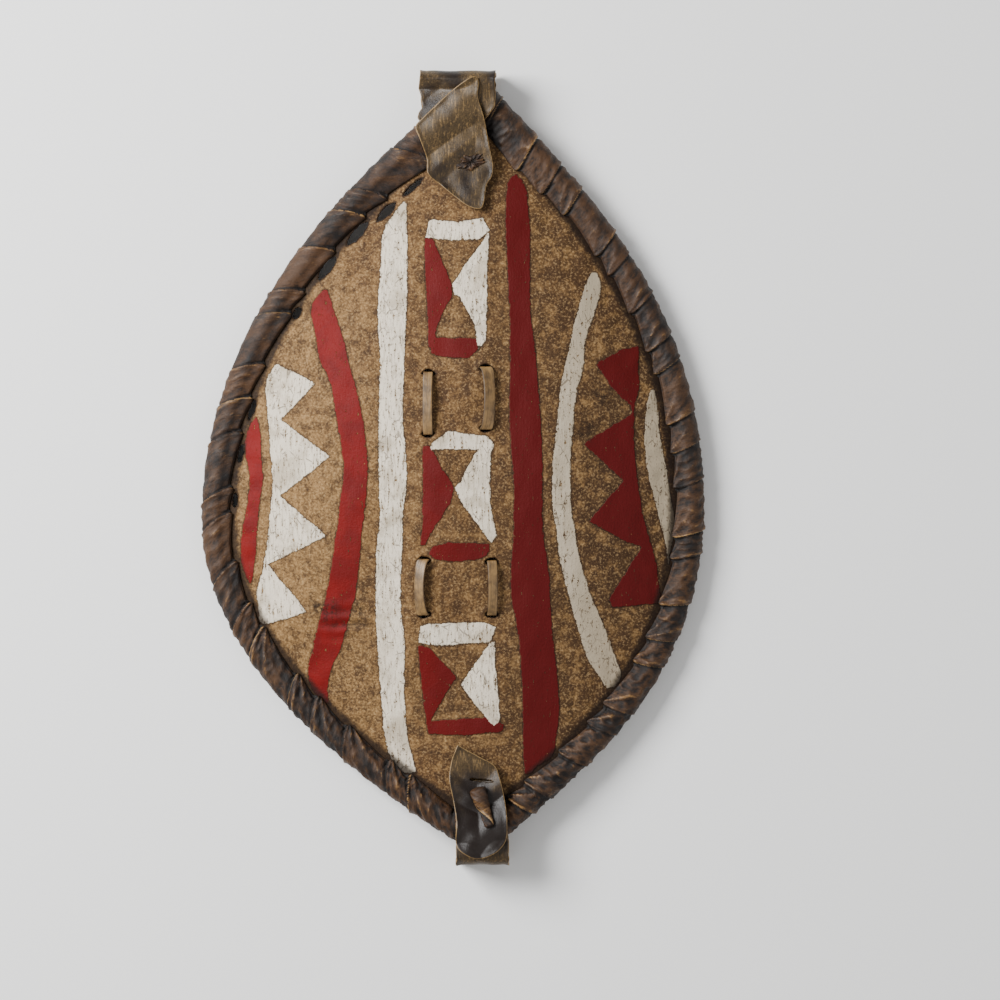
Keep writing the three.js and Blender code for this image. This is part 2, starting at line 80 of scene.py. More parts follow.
def bump(distance: Array, width: float) -> Array:
    """A rounded peak of height 1 that fades over width."""
    return np.exp(-((distance / width) ** 2))


def ripple(x: Array, y: Array, wavelength: float, seed: int, waves: int = 9) -> Array:
    """Smooth unevenness, mostly between -1 and 1.

    Args:
        x, y: places, in millimetres.
        wavelength: the usual distance between two crests.
        seed: picks one pattern.
        waves: how many sine waves are added up.
    Returns:
        The unevenness at each place.
    """
    rng = np.random.default_rng(seed)
    total = np.zeros(np.broadcast(x, y).shape)
    for _ in range(waves):
        angle, phase = rng.uniform(0.0, 2.0 * math.pi, 2)
        turn = 2.0 * math.pi / (wavelength * rng.uniform(0.7, 1.5))
        total += np.sin(turn * (x * math.cos(angle) + y * math.sin(angle)) + phase)
    return total / math.sqrt(waves)


def through(points: Sequence | Array, count: int, closed: bool = False) -> Array:
    """A smooth curve through points, at even steps from the first to the last.

    Args:
        points: rows of numbers.
        count: how many rows to return.
        closed: whether the curve runs on from the last point to the first.
    Returns:
        Rows of numbers on the curve.
    """
    p = np.asarray(points, float)
    if closed:
        padded = np.concatenate([p[-1:], p, p[:2]])
        place = np.arange(count) * len(p) / count
    else:
        padded = np.concatenate([2 * p[:1] - p[1:2], p, 2 * p[-1:] - p[-2:-1]])
        place = np.linspace(0, len(p) - 1, count)
    i = np.minimum(place.astype(int), len(padded) - 4)
    t = (place - i).reshape((-1,) + (1,) * (p.ndim - 1))
    a, b, c, d = (padded[i + k] for k in range(4))
    return 0.5 * (2 * b + (c - a) * t + (2 * a - 5 * b + 4 * c - d) * t**2 + (3 * b - a - 3 * c + d) * t**3)


def signed_distance(outline: Array, x: Array, y: Array, reach: float = 14.0) -> Array:
    """Distance from places to a closed outline: negative inside it, and reach where it is far.

    Args:
        outline: its corners, in order.
        x, y: the places.
        reach: the distance past which none is worked out.
    Returns:
        The distance at each place.
    """
    result = np.full(x.shape, reach)
    low, high = outline.min(0) - reach, outline.max(0) + reach
    near = (x > low[0]) & (x < high[0]) & (y > low[1]) & (y < high[1])
    px, py = x[near], y[near]
    best = np.full(px.shape, reach**2)
    inside = np.zeros(px.shape, bool)
    for (ax, ay), (bx, by) in zip(outline, np.roll(outline, -1, axis=0)):
        dx, dy = bx - ax, by - ay
        t = np.clip(((px - ax) * dx + (py - ay) * dy) / max(dx * dx + dy * dy, 1e-9), 0.0, 1.0)
        best = np.minimum(best, (px - ax - t * dx) ** 2 + (py - ay - t * dy) ** 2)
        if dy != 0.0:
            inside ^= ((ay > py) != (by > py)) & (px < ax + dx * (py - ay) / dy)
    result[near] = np.sqrt(best) * np.where(inside, -1.0, 1.0)
    return result


def make_piece(
    name: str, points: Array, faces: list, values: dict[str, Array] | None = None
) -> bpy.types.Object:
    """Makes a smooth mesh piece that rides on the shield.

    Args:
        name: the piece's name.
        points: its points, in millimetres.
        faces: its faces, as lists of point numbers.
        values: named numbers, one for each point, for the materials to read.
    Returns:
        The piece.
    """
    mesh = bpy.data.meshes.new(name)
    mesh.from_pydata((np.asarray(points).reshape(-1, 3) * MM).tolist(), [], faces)
    work = bmesh.new()
    work.from_mesh(mesh)
    bmesh.ops.recalc_face_normals(work, faces=work.faces)
    work.to_mesh(mesh)
    work.free()
    for key, numbers in (values or {}).items():
        attribute = mesh.attributes.new(key, "FLOAT", "POINT")
        attribute.data.foreach_set("value", np.ascontiguousarray(numbers, np.float32).ravel())
    mesh.shade_smooth()
    piece = bpy.data.objects.new(name, mesh)
    bpy.context.scene.collection.objects.link(piece)
    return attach(piece, "root")


def loft_faces(rings: int, size: int, closed: bool = False) -> list:
    """The faces that join rings of size points into one closed body.

    Args:
        rings: how many rings there are.
        size: how many points each ring has.
        closed: whether the last ring joins the first; otherwise both get an end face.
    Returns:
        The faces, as lists of point numbers.
    """
    i, j = np.meshgrid(np.arange(rings if closed else rings - 1), np.arange(size), indexing="ij")
    here, ahead = i * size, (i + 1) % rings * size
    k = (j + 1) % size
    faces = np.stack([here + j, ahead + j, ahead + k, here + k], axis=-1).reshape(-1, 4).tolist()
    if not closed:
        faces += [list(range(size)), list(range((rings - 1) * size, rings * size))]
    return faces


# The four corners of every cell of a grid, in order round the cell.
CORNERS = (
    (slice(None, -1), slice(None, -1)),
    (slice(None, -1), slice(1, None)),
    (slice(1, None), slice(1, None)),
    (slice(1, None), slice(None, -1)),
)


def clipped_sheet(
    x: Array, y: Array, outside: Array, top: Callable[[Array, Array], Array], thickness: float
) -> tuple[Array, list, Array, Array]:
    """A sheet cut to an outline, with walls round its edge and its holes.

    Args:
        x, y: an even grid of places.
        outside: distance outside the outline at each place, negative inside.
        top: gives the height of the sheet's upper face.
        thickness: how far its under face lies below.
    Returns:
        The points, the faces, and each point's x and y.
    """
    spacing = y[1, 0] - y[0, 0]
    down, across = np.gradient(outside, spacing)
    steep = np.maximum(down**2 + across**2, 0.25)
    near = np.abs(outside) < 0.62 * spacing
    x = np.where(near, x - outside * across / steep, x)
    y = np.where(near, y - outside * down / steep, y)
    place = np.where(near, 0.0, outside)
    keep = place <= 0.0
    number = np.arange(x.size).reshape(x.shape)
    corners = np.stack([number[c] for c in CORNERS], axis=-1).reshape(-1, 4)
    inside = np.stack([keep[c] for c in CORNERS], axis=-1).reshape(-1, 4)
    deep = np.stack([place[c] for c in CORNERS], axis=-1).reshape(-1, 4).min(axis=1) < 0.0
    whole = corners[inside.all(axis=1) & deep]
    three = (inside.sum(axis=1) == 3) & deep
    part = [row[ok].tolist() for row, ok in zip(corners[three], inside[three])]
    upper = whole.tolist() + part
    used, compact = np.unique(np.concatenate([np.ravel(f) for f in upper]), return_inverse=True)
    sizes = [len(f) for f in upper]
    upper = [part.tolist() for part in np.split(compact, np.cumsum(sizes)[:-1])]
    ux, uy = x.ravel()[used], y.ravel()[used]
    height = top(ux, uy)
    count = len(used)
    lower = [[p + count for p in reversed(f)] for f in upper]
    edges = {}
    for f in upper:
        for a, b in zip(f, f[1:] + f[:1]):
            if edges.pop((b, a), None) is None:
                edges[(a, b)] = True
    walls = [[b, a, a + count, b + count] for a, b in edges]
    points = np.concatenate([
        np.column_stack([ux, uy, height]),
        np.column_stack([ux, uy, height - thickness]),
    ])
    return points, upper + lower + walls, np.tile(ux, 2), np.tile(uy, 2)


def even_grid(low: Pair, high: Pair, spacing: float) -> tuple[Array, Array]:
    """The x and y of an even grid of places between two corners."""
    return np.meshgrid(np.arange(low[0], high[0], spacing), np.arange(low[1], high[1], spacing))


# ---------------------------------------------------------------- the rim's line and the hide's surface


@dataclass
class RimStick:
    """The centre line of one bent stick: two Bezier curves that meet at the shield's widest place.

    Its handles are offsets from the ends of the curves. Places along it are measured from the top point.
    """

    sign: int
    turns: int
    phase: float
    widest_y: float
    top_handle: Pair
    up_handle: float
    down_handle: float
    bottom_handle: Pair
    line: Array = field(init=False, repr=False)
    along: Array = field(init=False, repr=False)

    def __post_init__(self) -> None:
        """Samples the line about every millimetre, and runs it on straight past both ends."""
        widest = np.array([self.sign * HALF_WIDTH, self.widest_y])
        upper = self._bezier(TOP, TOP + self.top_handle, widest + (0, self.up_handle), widest)
        lower = self._bezier(widest, widest - (0, self.down_handle), BOTTOM + self.bottom_handle, BOTTOM)
        line = np.concatenate([upper, lower[1:]])
        before = line[0] + (line[0] - line[1]) * 20.0
        after = line[-1] + (line[-1] - line[-2]) * 20.0
        self.line = np.concatenate([[before], line, [after]])
        steps = np.hypot(*np.diff(self.line, axis=0).T)
        self.along = np.concatenate([[0.0], np.cumsum(steps)]) - steps[0]

    @staticmethod
    def _bezier(a: Array, b: Array, c: Array, d: Array) -> Array:
        """Points along one cubic Bezier curve."""
        t = np.linspace(0.0, 1.0, 380)[:, None]
        return (1 - t) ** 3 * a + 3 * (1 - t) ** 2 * t * b + 3 * (1 - t) * t**2 * c + t**3 * d

    @property
    def length(self) -> float:
        """The stick's length between the two points of the shield."""
        return float(self.along[-2])

    def at(self, place: Array) -> Array:
        """The point at a place along the stick."""
        return np.stack([np.interp(place, self.along, self.line[:, k]) for k in range(2)], axis=-1)

    def inward(self, place: Array) -> Array:
        """The direction towards the middle of the shield at a place along the stick."""
        tangent = self.at(place + 1.5) - self.at(place - 1.5)
        tangent /= np.linalg.norm(tangent, axis=-1, keepdims=True)
        return self.sign * np.stack([tangent[..., 1], -tangent[..., 0]], axis=-1)

    def x_at(self, y: Array) -> Array:
        """Where the stick crosses a height on the shield."""
        inner = self.line[1:-1]
        return np.interp(-y, -inner[:, 1], inner[:, 0])

    def distance(self, x: Array, y: Array) -> Array:
        """Distance from places to the stick's centre line.

        Args:
            x, y: places on the shield.
        Returns:
            The distance at each place.
        """
        places = np.column_stack([x.ravel(), y.ravel()])
        nearest = np.empty(len(places))
        for start in range(0, len(places), 4000):
            block = places[start:start + 4000]
            square = ((block[:, None, :] - self.line[None, ::2, :]) ** 2).sum(axis=-1)
            nearest[start:start + 4000] = np.sqrt(square.min(axis=1))
        return nearest.reshape(x.shape)


LEFT = RimStick(-1, 22, 0.4, -39.0, (-115, -82), 130, 117, (-67, 42))
RIGHT = RimStick(1, 23, 2.1, -30.5, (75, -82), 154, 138, (61, 53))


def rim_height(y: Array) -> Array:
    """Height of the rim's centre line."""
    beyond = np.maximum(0.0, np.abs(y) - FLAT_SIDE) / (TOP[1] - FLAT_SIDE)
    return WRAP_RADIUS + APEX_RISE * beyond**2


def hide_height(x: Array, y: Array) -> Array:
    """Height of the middle of the hide's thickness.

    Args:
        x, y: places on the shield.
    Returns:
        The height at each place.
    """
    along = np.clip((2 * y - TOP[1] - BOTTOM[1]) / (TOP[1] - BOTTOM[1]), -1.0, 1.0)
    left, right = LEFT.x_at(y), RIGHT.x_at(y)
    across = np.clip((2 * x - left - right) / np.maximum(right - left, 1.0), -1.0, 1.0)
    return rim_height(y) + CROWN * (1 - along**2) ** 1.5 * (1 - across**2)


def rim_distance(x: Array, y: Array) -> Array:
    """Distance from places to the nearer rim stick's centre line."""
    return np.minimum(LEFT.distance(x, y), RIGHT.distance(x, y))


# ---------------------------------------------------------------- shader building


def linear(code: str) -> tuple[float, float, float, float]:
    """An sRGB hex colour as linear red, green, blue and alpha."""
    parts = [int(code[i:i + 2], 16) / 255 for i in (1, 3, 5)]
    return (*[c / 12.92 if c <= 0.04045 else ((c + 0.055) / 1.055) ** 2.4 for c in parts], 1.0)


def per(size_mm: float) -> float:
    """The pattern scale, in turns for each metre, of something that repeats every size_mm."""
    return 1.0 / (size_mm * MM)


def add_node(tree: bpy.types.NodeTree, kind: str, inputs: dict | None = None, **settings) -> bpy.types.Node:
    """Adds a shader node.

    Args:
        tree: the material's node tree.
        kind: the node's type, without its ShaderNode prefix.
        inputs: a socket to link, or a value to set, for each input's name or number.
        settings: the node's own settings.
    Returns:
        The node.
    """
    made = tree.nodes.new("ShaderNode" + kind)
    for key, value in settings.items():
        setattr(made, key, value)
    for key, value in (inputs or {}).items():
        if isinstance(value, bpy.types.NodeSocket):
            tree.links.new(value, made.inputs[key])
        else:
            made.inputs[key].default_value = value
    return made


Socket = bpy.types.NodeSocket


@dataclass(frozen=True)
class Shader:
    """The tree of one material, with the few joins that its finish is made of."""

    tree: bpy.types.NodeTree

    def value(self, name: str) -> Socket:
        """A number that the mesh holds at each point."""
        return add_node(self.tree, "Attribute", attribute_name=name).outputs["Fac"]

    def place(self) -> Socket:
        """The place on the shield, in metres."""
        return add_node(self.tree, "TexCoord").outputs["Object"]

    def join(self, x: Socket | float, y: Socket | float, z: Socket | float = 0.0) -> Socket:
        """A vector from three numbers."""
        return add_node(self.tree, "CombineXYZ", {0: x, 1: y, 2: z}).outputs[0]

    def stretch(self, vector: Socket, scale: tuple[float, float, float]) -> Socket:
        """A place with its axes scaled, for a pattern with a grain."""
        return add_node(self.tree, "VectorMath", {0: vector, 1: scale}, operation="MULTIPLY").outputs[0]

    def noise(self, vector: Socket, size_mm: float, detail: float = 3.0, roughness: float = 0.5) -> Socket:
        """Cloudy noise about 0.5, with patches about size_mm wide."""
        inputs = {"Vector": vector, "Scale": per(size_mm), "Detail": detail, "Roughness": roughness}
        return add_node(self.tree, "TexNoise", inputs).outputs["Fac"]

    def cells(self, vector: Socket, size_mm: float, feature: str = "F1") -> Socket:
        """Distance to scattered dots size_mm apart, or to the lines between them, in shares of that."""
        inputs = {"Vector": vector, "Scale": per(size_mm)}
        return add_node(self.tree, "TexVoronoi", inputs, feature=feature).outputs["Distance"]

    def veins(self, vector: Socket, size_mm: float, width: float) -> Socket:
        """Winding lines about size_mm apart, from 1 on each line to 0 beside it."""
        off = self.math("ABSOLUTE", self.math("SUBTRACT", self.noise(vector, size_mm, 5, 0.62), 0.5))
        return self.ramp(off, 0.0, width, 1.0, 0.0)

    def math(self, operation: str, a: Socket | float, b: Socket | float = 0.0) -> Socket:
        """A sum, product or other result of two numbers."""
        return add_node(self.tree, "Math", {0: a, 1: b}, operation=operation).outputs[0]

    def ramp(self, value: Socket, low: float, high: float, start: float = 0.0, end: float = 1.0) -> Socket:
        """A number that goes smoothly from start to end as value goes from low to high."""
        inputs = {"Value": value, "From Min": low, "From Max": high, "To Min": start, "To Max": end}
        return add_node(self.tree, "MapRange", inputs, interpolation_type="SMOOTHSTEP").outputs["Result"]

    def mix(self, share: Socket | float, a: Socket | tuple, b: Socket | tuple, blend: str = "MIX") -> Socket:
        """Two colours mixed by a share of the second."""
        settings = {"data_type": "RGBA", "blend_type": blend}
        return add_node(self.tree, "Mix", {0: share, 6: a, 7: b}, **settings).outputs[2]

    def relief(self, height: Socket, depth_mm: float, under: Socket | None = None) -> Socket:
        """The surface's direction with a relief on it.

        Args:
            height: the relief.
            depth_mm: how deep it is for a height of 1.
            under: a relief that this one lies on.
        Returns:
            The direction.
        """
        inputs = {"Height": height, "Distance": depth_mm * MM, "Strength": 1.0}
        if under is not None:
            inputs["Normal"] = under
        return add_node(self.tree, "Bump", inputs).outputs["Normal"]

    def finish(self, colour: Socket, roughness: Socket, normal: Socket, **constants: float | tuple) -> None:
        """Closes the tree with one principled surface. Constants are set straight on its sockets.

        Args:
            colour, roughness, normal: what the surface reads.
            constants: other inputs, by name with underscores for spaces.
        """
        inputs = {"Base Color": colour, "Roughness": roughness, "Normal": normal}
        inputs |= {key.replace("_", " "): value for key, value in constants.items()}
        surface = add_node(self.tree, "BsdfPrincipled", inputs)
        add_node(self.tree, "OutputMaterial", {"Surface": surface.outputs[0]})


@dataclass(frozen=True)
class Finish:
    """A finish of one real material, put on pieces as a material of its own."""

    title: str
    slot: str

    def weave(self, shader: Shader) -> None:
        """Builds the finish's nodes."""
        raise NotImplementedError

    def dress(self, *pieces: bpy.types.Object) -> None:
        """Makes the material and puts it on pieces.

        Args:
            pieces: the pieces that get the finish.
        """
        material = bpy.data.materials.new(self.title)
        material.use_nodes = True
        material.node_tree.nodes.clear()
        self.weave(Shader(material.node_tree))
        for piece in pieces:
            piece.data.materials.clear()
            piece.data.materials.append(material)


# ---------------------------------------------------------------- finishes


class Paint(Enum):
    """The two paints, by the name of the distance that the hide holds for each."""

    RED = "red_paint"
    WHITE = "white_paint"


@dataclass(frozen=True)
class PaintedRawhide(Finish):
    """Rawhide scraped clean of hair and dried on the frame, then painted by hand with earth paints.

    It gives the eye a dry, mottled tan skin, paler to the left and grey-brown to the right, partly stains and
    partly painted shade for light from the left, under chalky white and flat red paint with brush marks and
    ragged edges.
    """

    pale: str = "#886840"
    tan: str = "#5f4427"
    smoke: str = "#3b2817"
    dirt_and_shade: str = "#170c06"
    fibre: str = "#b6976a"
    red: str = "#6e0704"
    deep_red: str = "#4c0202"
    white: str = "#d8ccb8"
    grey_white: str = "#9b8d77"

    def weave(self, shader: Shader) -> None:
        """Builds the skin first, then the two paints over it, then stains, darkening and painted shade over
        both.
        """
        place = shader.place()
        skin, skin_height = self._skin(shader, place)
        grain = shader.noise(shader.stretch(place, (1.0, 0.14, 1.0)), 1.6, 3, 0.6)
        fleck = shader.noise(place, 1.8, 3, 0.65)
        wide = shader.math("MULTIPLY", shader.math("SUBTRACT", shader.noise(place, 7, 4, 0.65), 0.5), 3.2)
        fine = shader.math("MULTIPLY", shader.math("SUBTRACT", fleck, 0.5), 2.2)
        wobble = shader.math("ADD", wide, fine)
        texture = shader.math("ADD", grain, fleck)

        def cover(paint: Paint, thin: float) -> tuple[Socket, Socket]:
            """How much a paint covers each place, and the dark line that its thin edge leaves.

            Args:
                paint: which of the two paints.
                thin: how thick the brush marks are where the paint starts to wear through.
            Returns:
                The cover and the line.
            """
            edge = shader.math("ADD", shader.value(paint.value), wobble)
            mask = shader.ramp(edge, -0.4, 0.3, 1.0, 0.0)
            worn = shader.ramp(texture, thin, thin + 0.14, 1.0, 0.0)
            off = shader.math("ABSOLUTE", shader.math("SUBTRACT", edge, 0.35))
            line = shader.ramp(off, 0.1, 0.8, 0.6, 0.0)
            return shader.math("MULTIPLY", mask, worn), line

        red_cover, red_line = cover(Paint.RED, 1.2)
        white_cover, white_line = cover(Paint.WHITE, 1.13)
        # Painted shade in part: the red darkens towards the right, partly ageing of the paint and partly
        # shade for light falling from the left.
        age_and_shade = shader.ramp(shader.value("shield_x"), -150, 60)
        cloud = shader.noise(place, 24, 4, 0.6)
        red = shader.mix(age_and_shade, linear(self.red), linear(self.deep_red))
        red = shader.mix(shader.ramp(cloud, 0.4, 0.62, 0.0, 0.5), red, linear(self.deep_red))
        speck = shader.ramp(shader.cells(place, 13), 0.02, 0.05, 0.7, 0.0)
        red = shader.mix(speck, red, linear(self.pale))
        # Painted shade in part: the white greys towards the right, partly soiling and partly shade for light
        # falling from the left.
        white_age_and_shade = shader.ramp(shader.value("shield_x"), 20, 120)
        white = shader.mix(white_age_and_shade, linear(self.white), linear(self.grey_white))
        white = shader.mix(shader.ramp(grain, 0.46, 0.62, 0.0, 0.5), white, linear(self.grey_white))
        white = shader.mix(shader.ramp(cloud, 0.45, 0.65, 0.0, 0.6), white, linear(self.grey_white))
        bent = shader.stretch(place, (1.0, 0.55, 1.0))
        crack = shader.ramp(shader.cells(bent, 6.5, "DISTANCE_TO_EDGE"), 0.012, 0.05, 1.0, 0.0)
        cracked = shader.ramp(shader.noise(place, 9, 4, 0.7), 0.49, 0.6, 0.0, 0.6)
        crack = shader.math("MULTIPLY", crack, cracked)
        white = shader.mix(crack, white, linear(self.smoke))
        colour = shader.mix(red_line, skin, linear(self.dirt_and_shade))
        colour = shader.mix(white_line, colour, linear(self.dirt_and_shade))
        colour = shader.mix(red_cover, colour, red)
        colour = shader.mix(white_cover, colour, white)
        colour = self._stains_darkening_and_shade(shader, place, colour)
        paint = shader.math("MAXIMUM", red_cover, white_cover)
        layer = shader.math("MULTIPLY", paint, 0.5)
        brushed = shader.math("MULTIPLY", texture, layer)
        height = shader.math("ADD", skin_height, shader.math("ADD", brushed, layer))
        height = shader.math("SUBTRACT", height, shader.math("MULTIPLY", crack, white_cover))
        dull = shader.math("ADD", shader.math("MULTIPLY", red_cover, -0.3), fleck)
        roughness = shader.ramp(dull, 0.0, 1.0, 0.6, 0.85)
        shader.finish(colour, roughness, shader.relief(height, 0.4), IOR=1.45, Specular_IOR_Level=0.22)

    def _skin(self, shader: Shader, place: Socket) -> tuple[Socket, Socket]:
        """The bare rawhide's colour and relief.

        Args:
            shader: the tree being built.
            place: the place on the shield.
        Returns:
            The colour and the relief.
        """
        broad = shader.noise(place, 75, 4, 0.6)
        patches = shader.noise(place, 9, 6, 0.7)
        # Real hair pores are 0.2 mm wide: these are drawn coarse enough to show.
        pores = shader.noise(place, 1.7, 4, 0.7)
        streaks = shader.noise(shader.stretch(place, (1.0, 0.3, 1.0)), 3.5, 4, 0.65)
        shift = shader.math("MULTIPLY", shader.math("SUBTRACT", broad, 0.5), 300)
        # Painted shade in part: the skin goes paler to the left and grey-brown to the right, partly staining
        # and partly shade for light falling from the left.
        shade_and_stain_lean = shader.math("ADD", shader.value("shield_x"), shift)
        colour = shader.mix(shader.ramp(shade_and_stain_lean, -150, -10), linear(self.pale), linear(self.tan))
        colour = shader.mix(shader.ramp(shade_and_stain_lean, -60, 190, 0.0, 0.9), colour, linear(self.smoke))
        colour = shader.mix(shader.ramp(patches, 0.46, 0.64, 0.0, 0.75), colour, linear(self.smoke))
        colour = shader.mix(shader.ramp(patches, 0.52, 0.36, 0.0, 0.7), colour, linear(self.pale))
        colour = shader.mix(shader.ramp(streaks, 0.5, 0.66, 0.0, 0.45), colour, linear(self.smoke))
        veins = shader.math("MULTIPLY", shader.veins(place, 12, 0.03), 0.4)
        colour = shader.mix(veins, colour, linear(self.smoke))
        spots = shader.ramp(pores, 0.5, 0.62, 0.0, 0.42)
        colour = shader.mix(spots, colour, linear(self.dirt_and_shade))
        dots = shader.math("MULTIPLY", shader.value("speckle"), shader.ramp(pores, 0.49, 0.56))
        colour = shader.mix(shader.math("MULTIPLY", dots, 0.5), colour, linear(self.smoke))
        colour = shader.mix(shader.ramp(pores, 0.48, 0.36, 0.0, 0.35), colour, linear(self.fibre))
        rough = shader.math("MULTIPLY", pores, 0.6)
        height = shader.math("ADD", shader.math("MULTIPLY", patches, 0.9), rough)
        return colour, height

    def _stains_darkening_and_shade(self, shader: Shader, place: Socket, colour: Socket) -> Socket:
        """Dark stains, painted shade in the wrinkle valleys, and darkening beside the winding and round the
        holes.

        Args:
            shader: the tree being built.
            place: the place on the shield.
            The colour with stains, darkening and painted shade.
        Returns:
            The soiled colour.
        """
        cloud = shader.noise(place, 4, 5, 0.7)
        # Real stains, and painted shade in the valleys of the cross wrinkles, both darken the colour here.
        stain_and_crease_shade = shader.math("MULTIPLY", shader.value("stain_and_crease_shade"), shader.ramp(cloud, 0.4, 0.56))
        # Darker beside the winding and round the holes.
        darkening = shader.math("ADD", shader.value("rim_and_hole_darkening"), shader.math("MULTIPLY", cloud, 0.5))
        darkening = shader.ramp(darkening, 0.6, 1.2, 0.0, 0.9)
        colour = shader.mix(darkening, colour, linear(self.dirt_and_shade))
        return shader.mix(shader.math("MULTIPLY", stain_and_crease_shade, 0.85), colour, linear(self.dirt_and_shade))


@dataclass(frozen=True)
class GreasedHideStrip(Finish):
    """Raw hide strip wound on wet and dried hard, then blackened by grease and smoke.

    It gives the eye dark brown folds with a low sheen, pale fibres on worn edges and ridges, a painted
    highlight on the ridges and painted shade in the folds.
    """

    brown: str = "#402812"
    black: str = "#080302"
    rubbed_and_highlight: str = "#8c683c"
    cut_edge: str = "#9c7a4c"

    def weave(self, shader: Shader) -> None:
        """Builds tones along each turn of the strip: ridges paler from wear and painted highlight, folds in
        painted shade.
        """
        along, across = shader.value("along"), shader.value("across")
        place = shader.join(shader.math("MULTIPLY", along, MM), shader.math("MULTIPLY", across, MM))
        cloud = shader.noise(place, 12, 6, 0.68)
        # Hide fibres are about 0.1 mm wide: these stand for bundles of them, so that they show.
        fibre = shader.noise(shader.stretch(place, (1.0, 0.35, 1.0)), 1.5, 4, 0.72)
        relief = shader.value("relief")
        spread = shader.math("MULTIPLY", shader.math("SUBTRACT", cloud, 0.5), 3.2)
        tone = shader.math("ADD", shader.value("tone"), spread)
        colour = shader.mix(shader.ramp(tone, -0.3, 1.0), linear(self.black), linear(self.brown))
        # Ridges turn pale, partly wear and partly painted highlight; the lowest folds turn black as painted
        # shade.
        wear_highlight_and_fold_shade = shader.math("ADD", relief, shader.math("MULTIPLY", shader.math("SUBTRACT", fibre, 0.5), 3.0))
        wear_highlight_and_fold_shade = shader.math("ADD", wear_highlight_and_fold_shade, shader.math("MULTIPLY", spread, 0.3))
        colour = shader.mix(shader.ramp(wear_highlight_and_fold_shade, 0.25, 1.5, 0.0, 0.85), colour, linear(self.rubbed_and_highlight))
        colour = shader.mix(shader.ramp(wear_highlight_and_fold_shade, 0.0, -1.0, 0.0, 0.9), colour, linear(self.black))
        edge = shader.math("ADD", shader.value("cut_edge"), shader.math("MULTIPLY", fibre, 0.6))
        colour = shader.mix(shader.ramp(edge, 0.8, 1.25, 0.0, 0.85), colour, linear(self.cut_edge))
        colour = shader.mix(shader.value("shade"), colour, linear(self.black))
        height = shader.math("ADD", fibre, shader.math("MULTIPLY", cloud, 2.0))
        roughness = shader.ramp(shader.math("ADD", fibre, relief), 0.0, 1.6, 0.68, 0.42)
        shader.finish(colour, roughness, shader.relief(height, 0.45), IOR=1.5, Specular_IOR_Level=0.36)


@dataclass(frozen=True)
class SmoothStrapHide(Finish):
    """Scraped strap hide, pressed flat and polished by hands.

    It gives the eye an even olive brown with fine scratches, a soft sheen and a pale raw edge.
    """

    olive: str = "#483820"
    dark: str = "#140a05"
    edge: str = "#98794c"

    def weave(self, shader: Shader) -> None:
        """Builds cloudy olive hide with lengthways scratches and a worn edge."""
        place = shader.place()
        cloud = shader.noise(place, 22, 5, 0.6)
        scratch = shader.noise(shader.stretch(place, (1.0, 0.12, 1.0)), 1.3, 3, 0.7)
        grain = shader.noise(place, 1.4, 4, 0.7)
        spread = shader.math("MULTIPLY", shader.math("SUBTRACT", cloud, 0.5), 1.8)
        tone = shader.math("ADD", shader.value("tone"), spread)
        colour = shader.mix(shader.ramp(tone, 0.0, 1.0), linear(self.dark), linear(self.olive))
        scraped = shader.ramp(scratch, 0.5, 0.7, 0.0, 0.55)
        light = shader.math("MULTIPLY", scraped, shader.ramp(tone, 0.1, 0.9))
        colour = shader.mix(light, colour, linear(self.edge))
        colour = shader.mix(shader.ramp(grain, 0.5, 0.62, 0.0, 0.5), colour, linear(self.dark))
        rim = shader.math("ADD", shader.value("cut_edge"), shader.math("MULTIPLY", scratch, 0.4))
        colour = shader.mix(shader.ramp(rim, 0.75, 1.2, 0.0, 0.75), colour, linear(self.edge))
        colour = shader.mix(shader.value("shade"), colour, linear(self.dark))
        height = shader.math("ADD", shader.math("MULTIPLY", scratch, 0.5), grain)
        roughness = shader.ramp(cloud, 0.3, 0.7, 0.36, 0.55)
        shader.finish(colour, roughness, shader.relief(height, 0.22), IOR=1.5, Specular_IOR_Level=0.36)


@dataclass(frozen=True)
class TwistedThong(Finish):
    """Narrow rawhide thong, pulled tight while wet.

    It gives the eye a smooth tan strap with edges darkened by painted shade, and lengthways strain lines.
    """

    tan: str = "#80633b"
    dark: str = "#24160a"

    def weave(self, shader: Shader) -> None:
        """Builds strain lines that run along the thong."""
        along, across = shader.value("along"), shader.value("across")
        place = shader.join(shader.math("MULTIPLY", along, MM), shader.math("MULTIPLY", across, MM))
        lines = shader.noise(shader.stretch(place, (0.08, 1.0, 1.0)), 1.2, 3, 0.6)
        cloud = shader.noise(place, 9, 4, 0.6)
        colour = shader.mix(shader.ramp(cloud, 0.35, 0.7, 0.0, 0.7), linear(self.tan), linear(self.dark))
        colour = shader.mix(shader.ramp(lines, 0.5, 0.75, 0.0, 0.6), colour, linear(self.dark))
        colour = shader.mix(shader.value("shade"), colour, linear(self.dark))
        roughness = shader.ramp(lines, 0.3, 0.7, 0.4, 0.6)
        shader.finish(colour, roughness, shader.relief(lines, 0.2), IOR=1.5, Specular_IOR_Level=0.5)


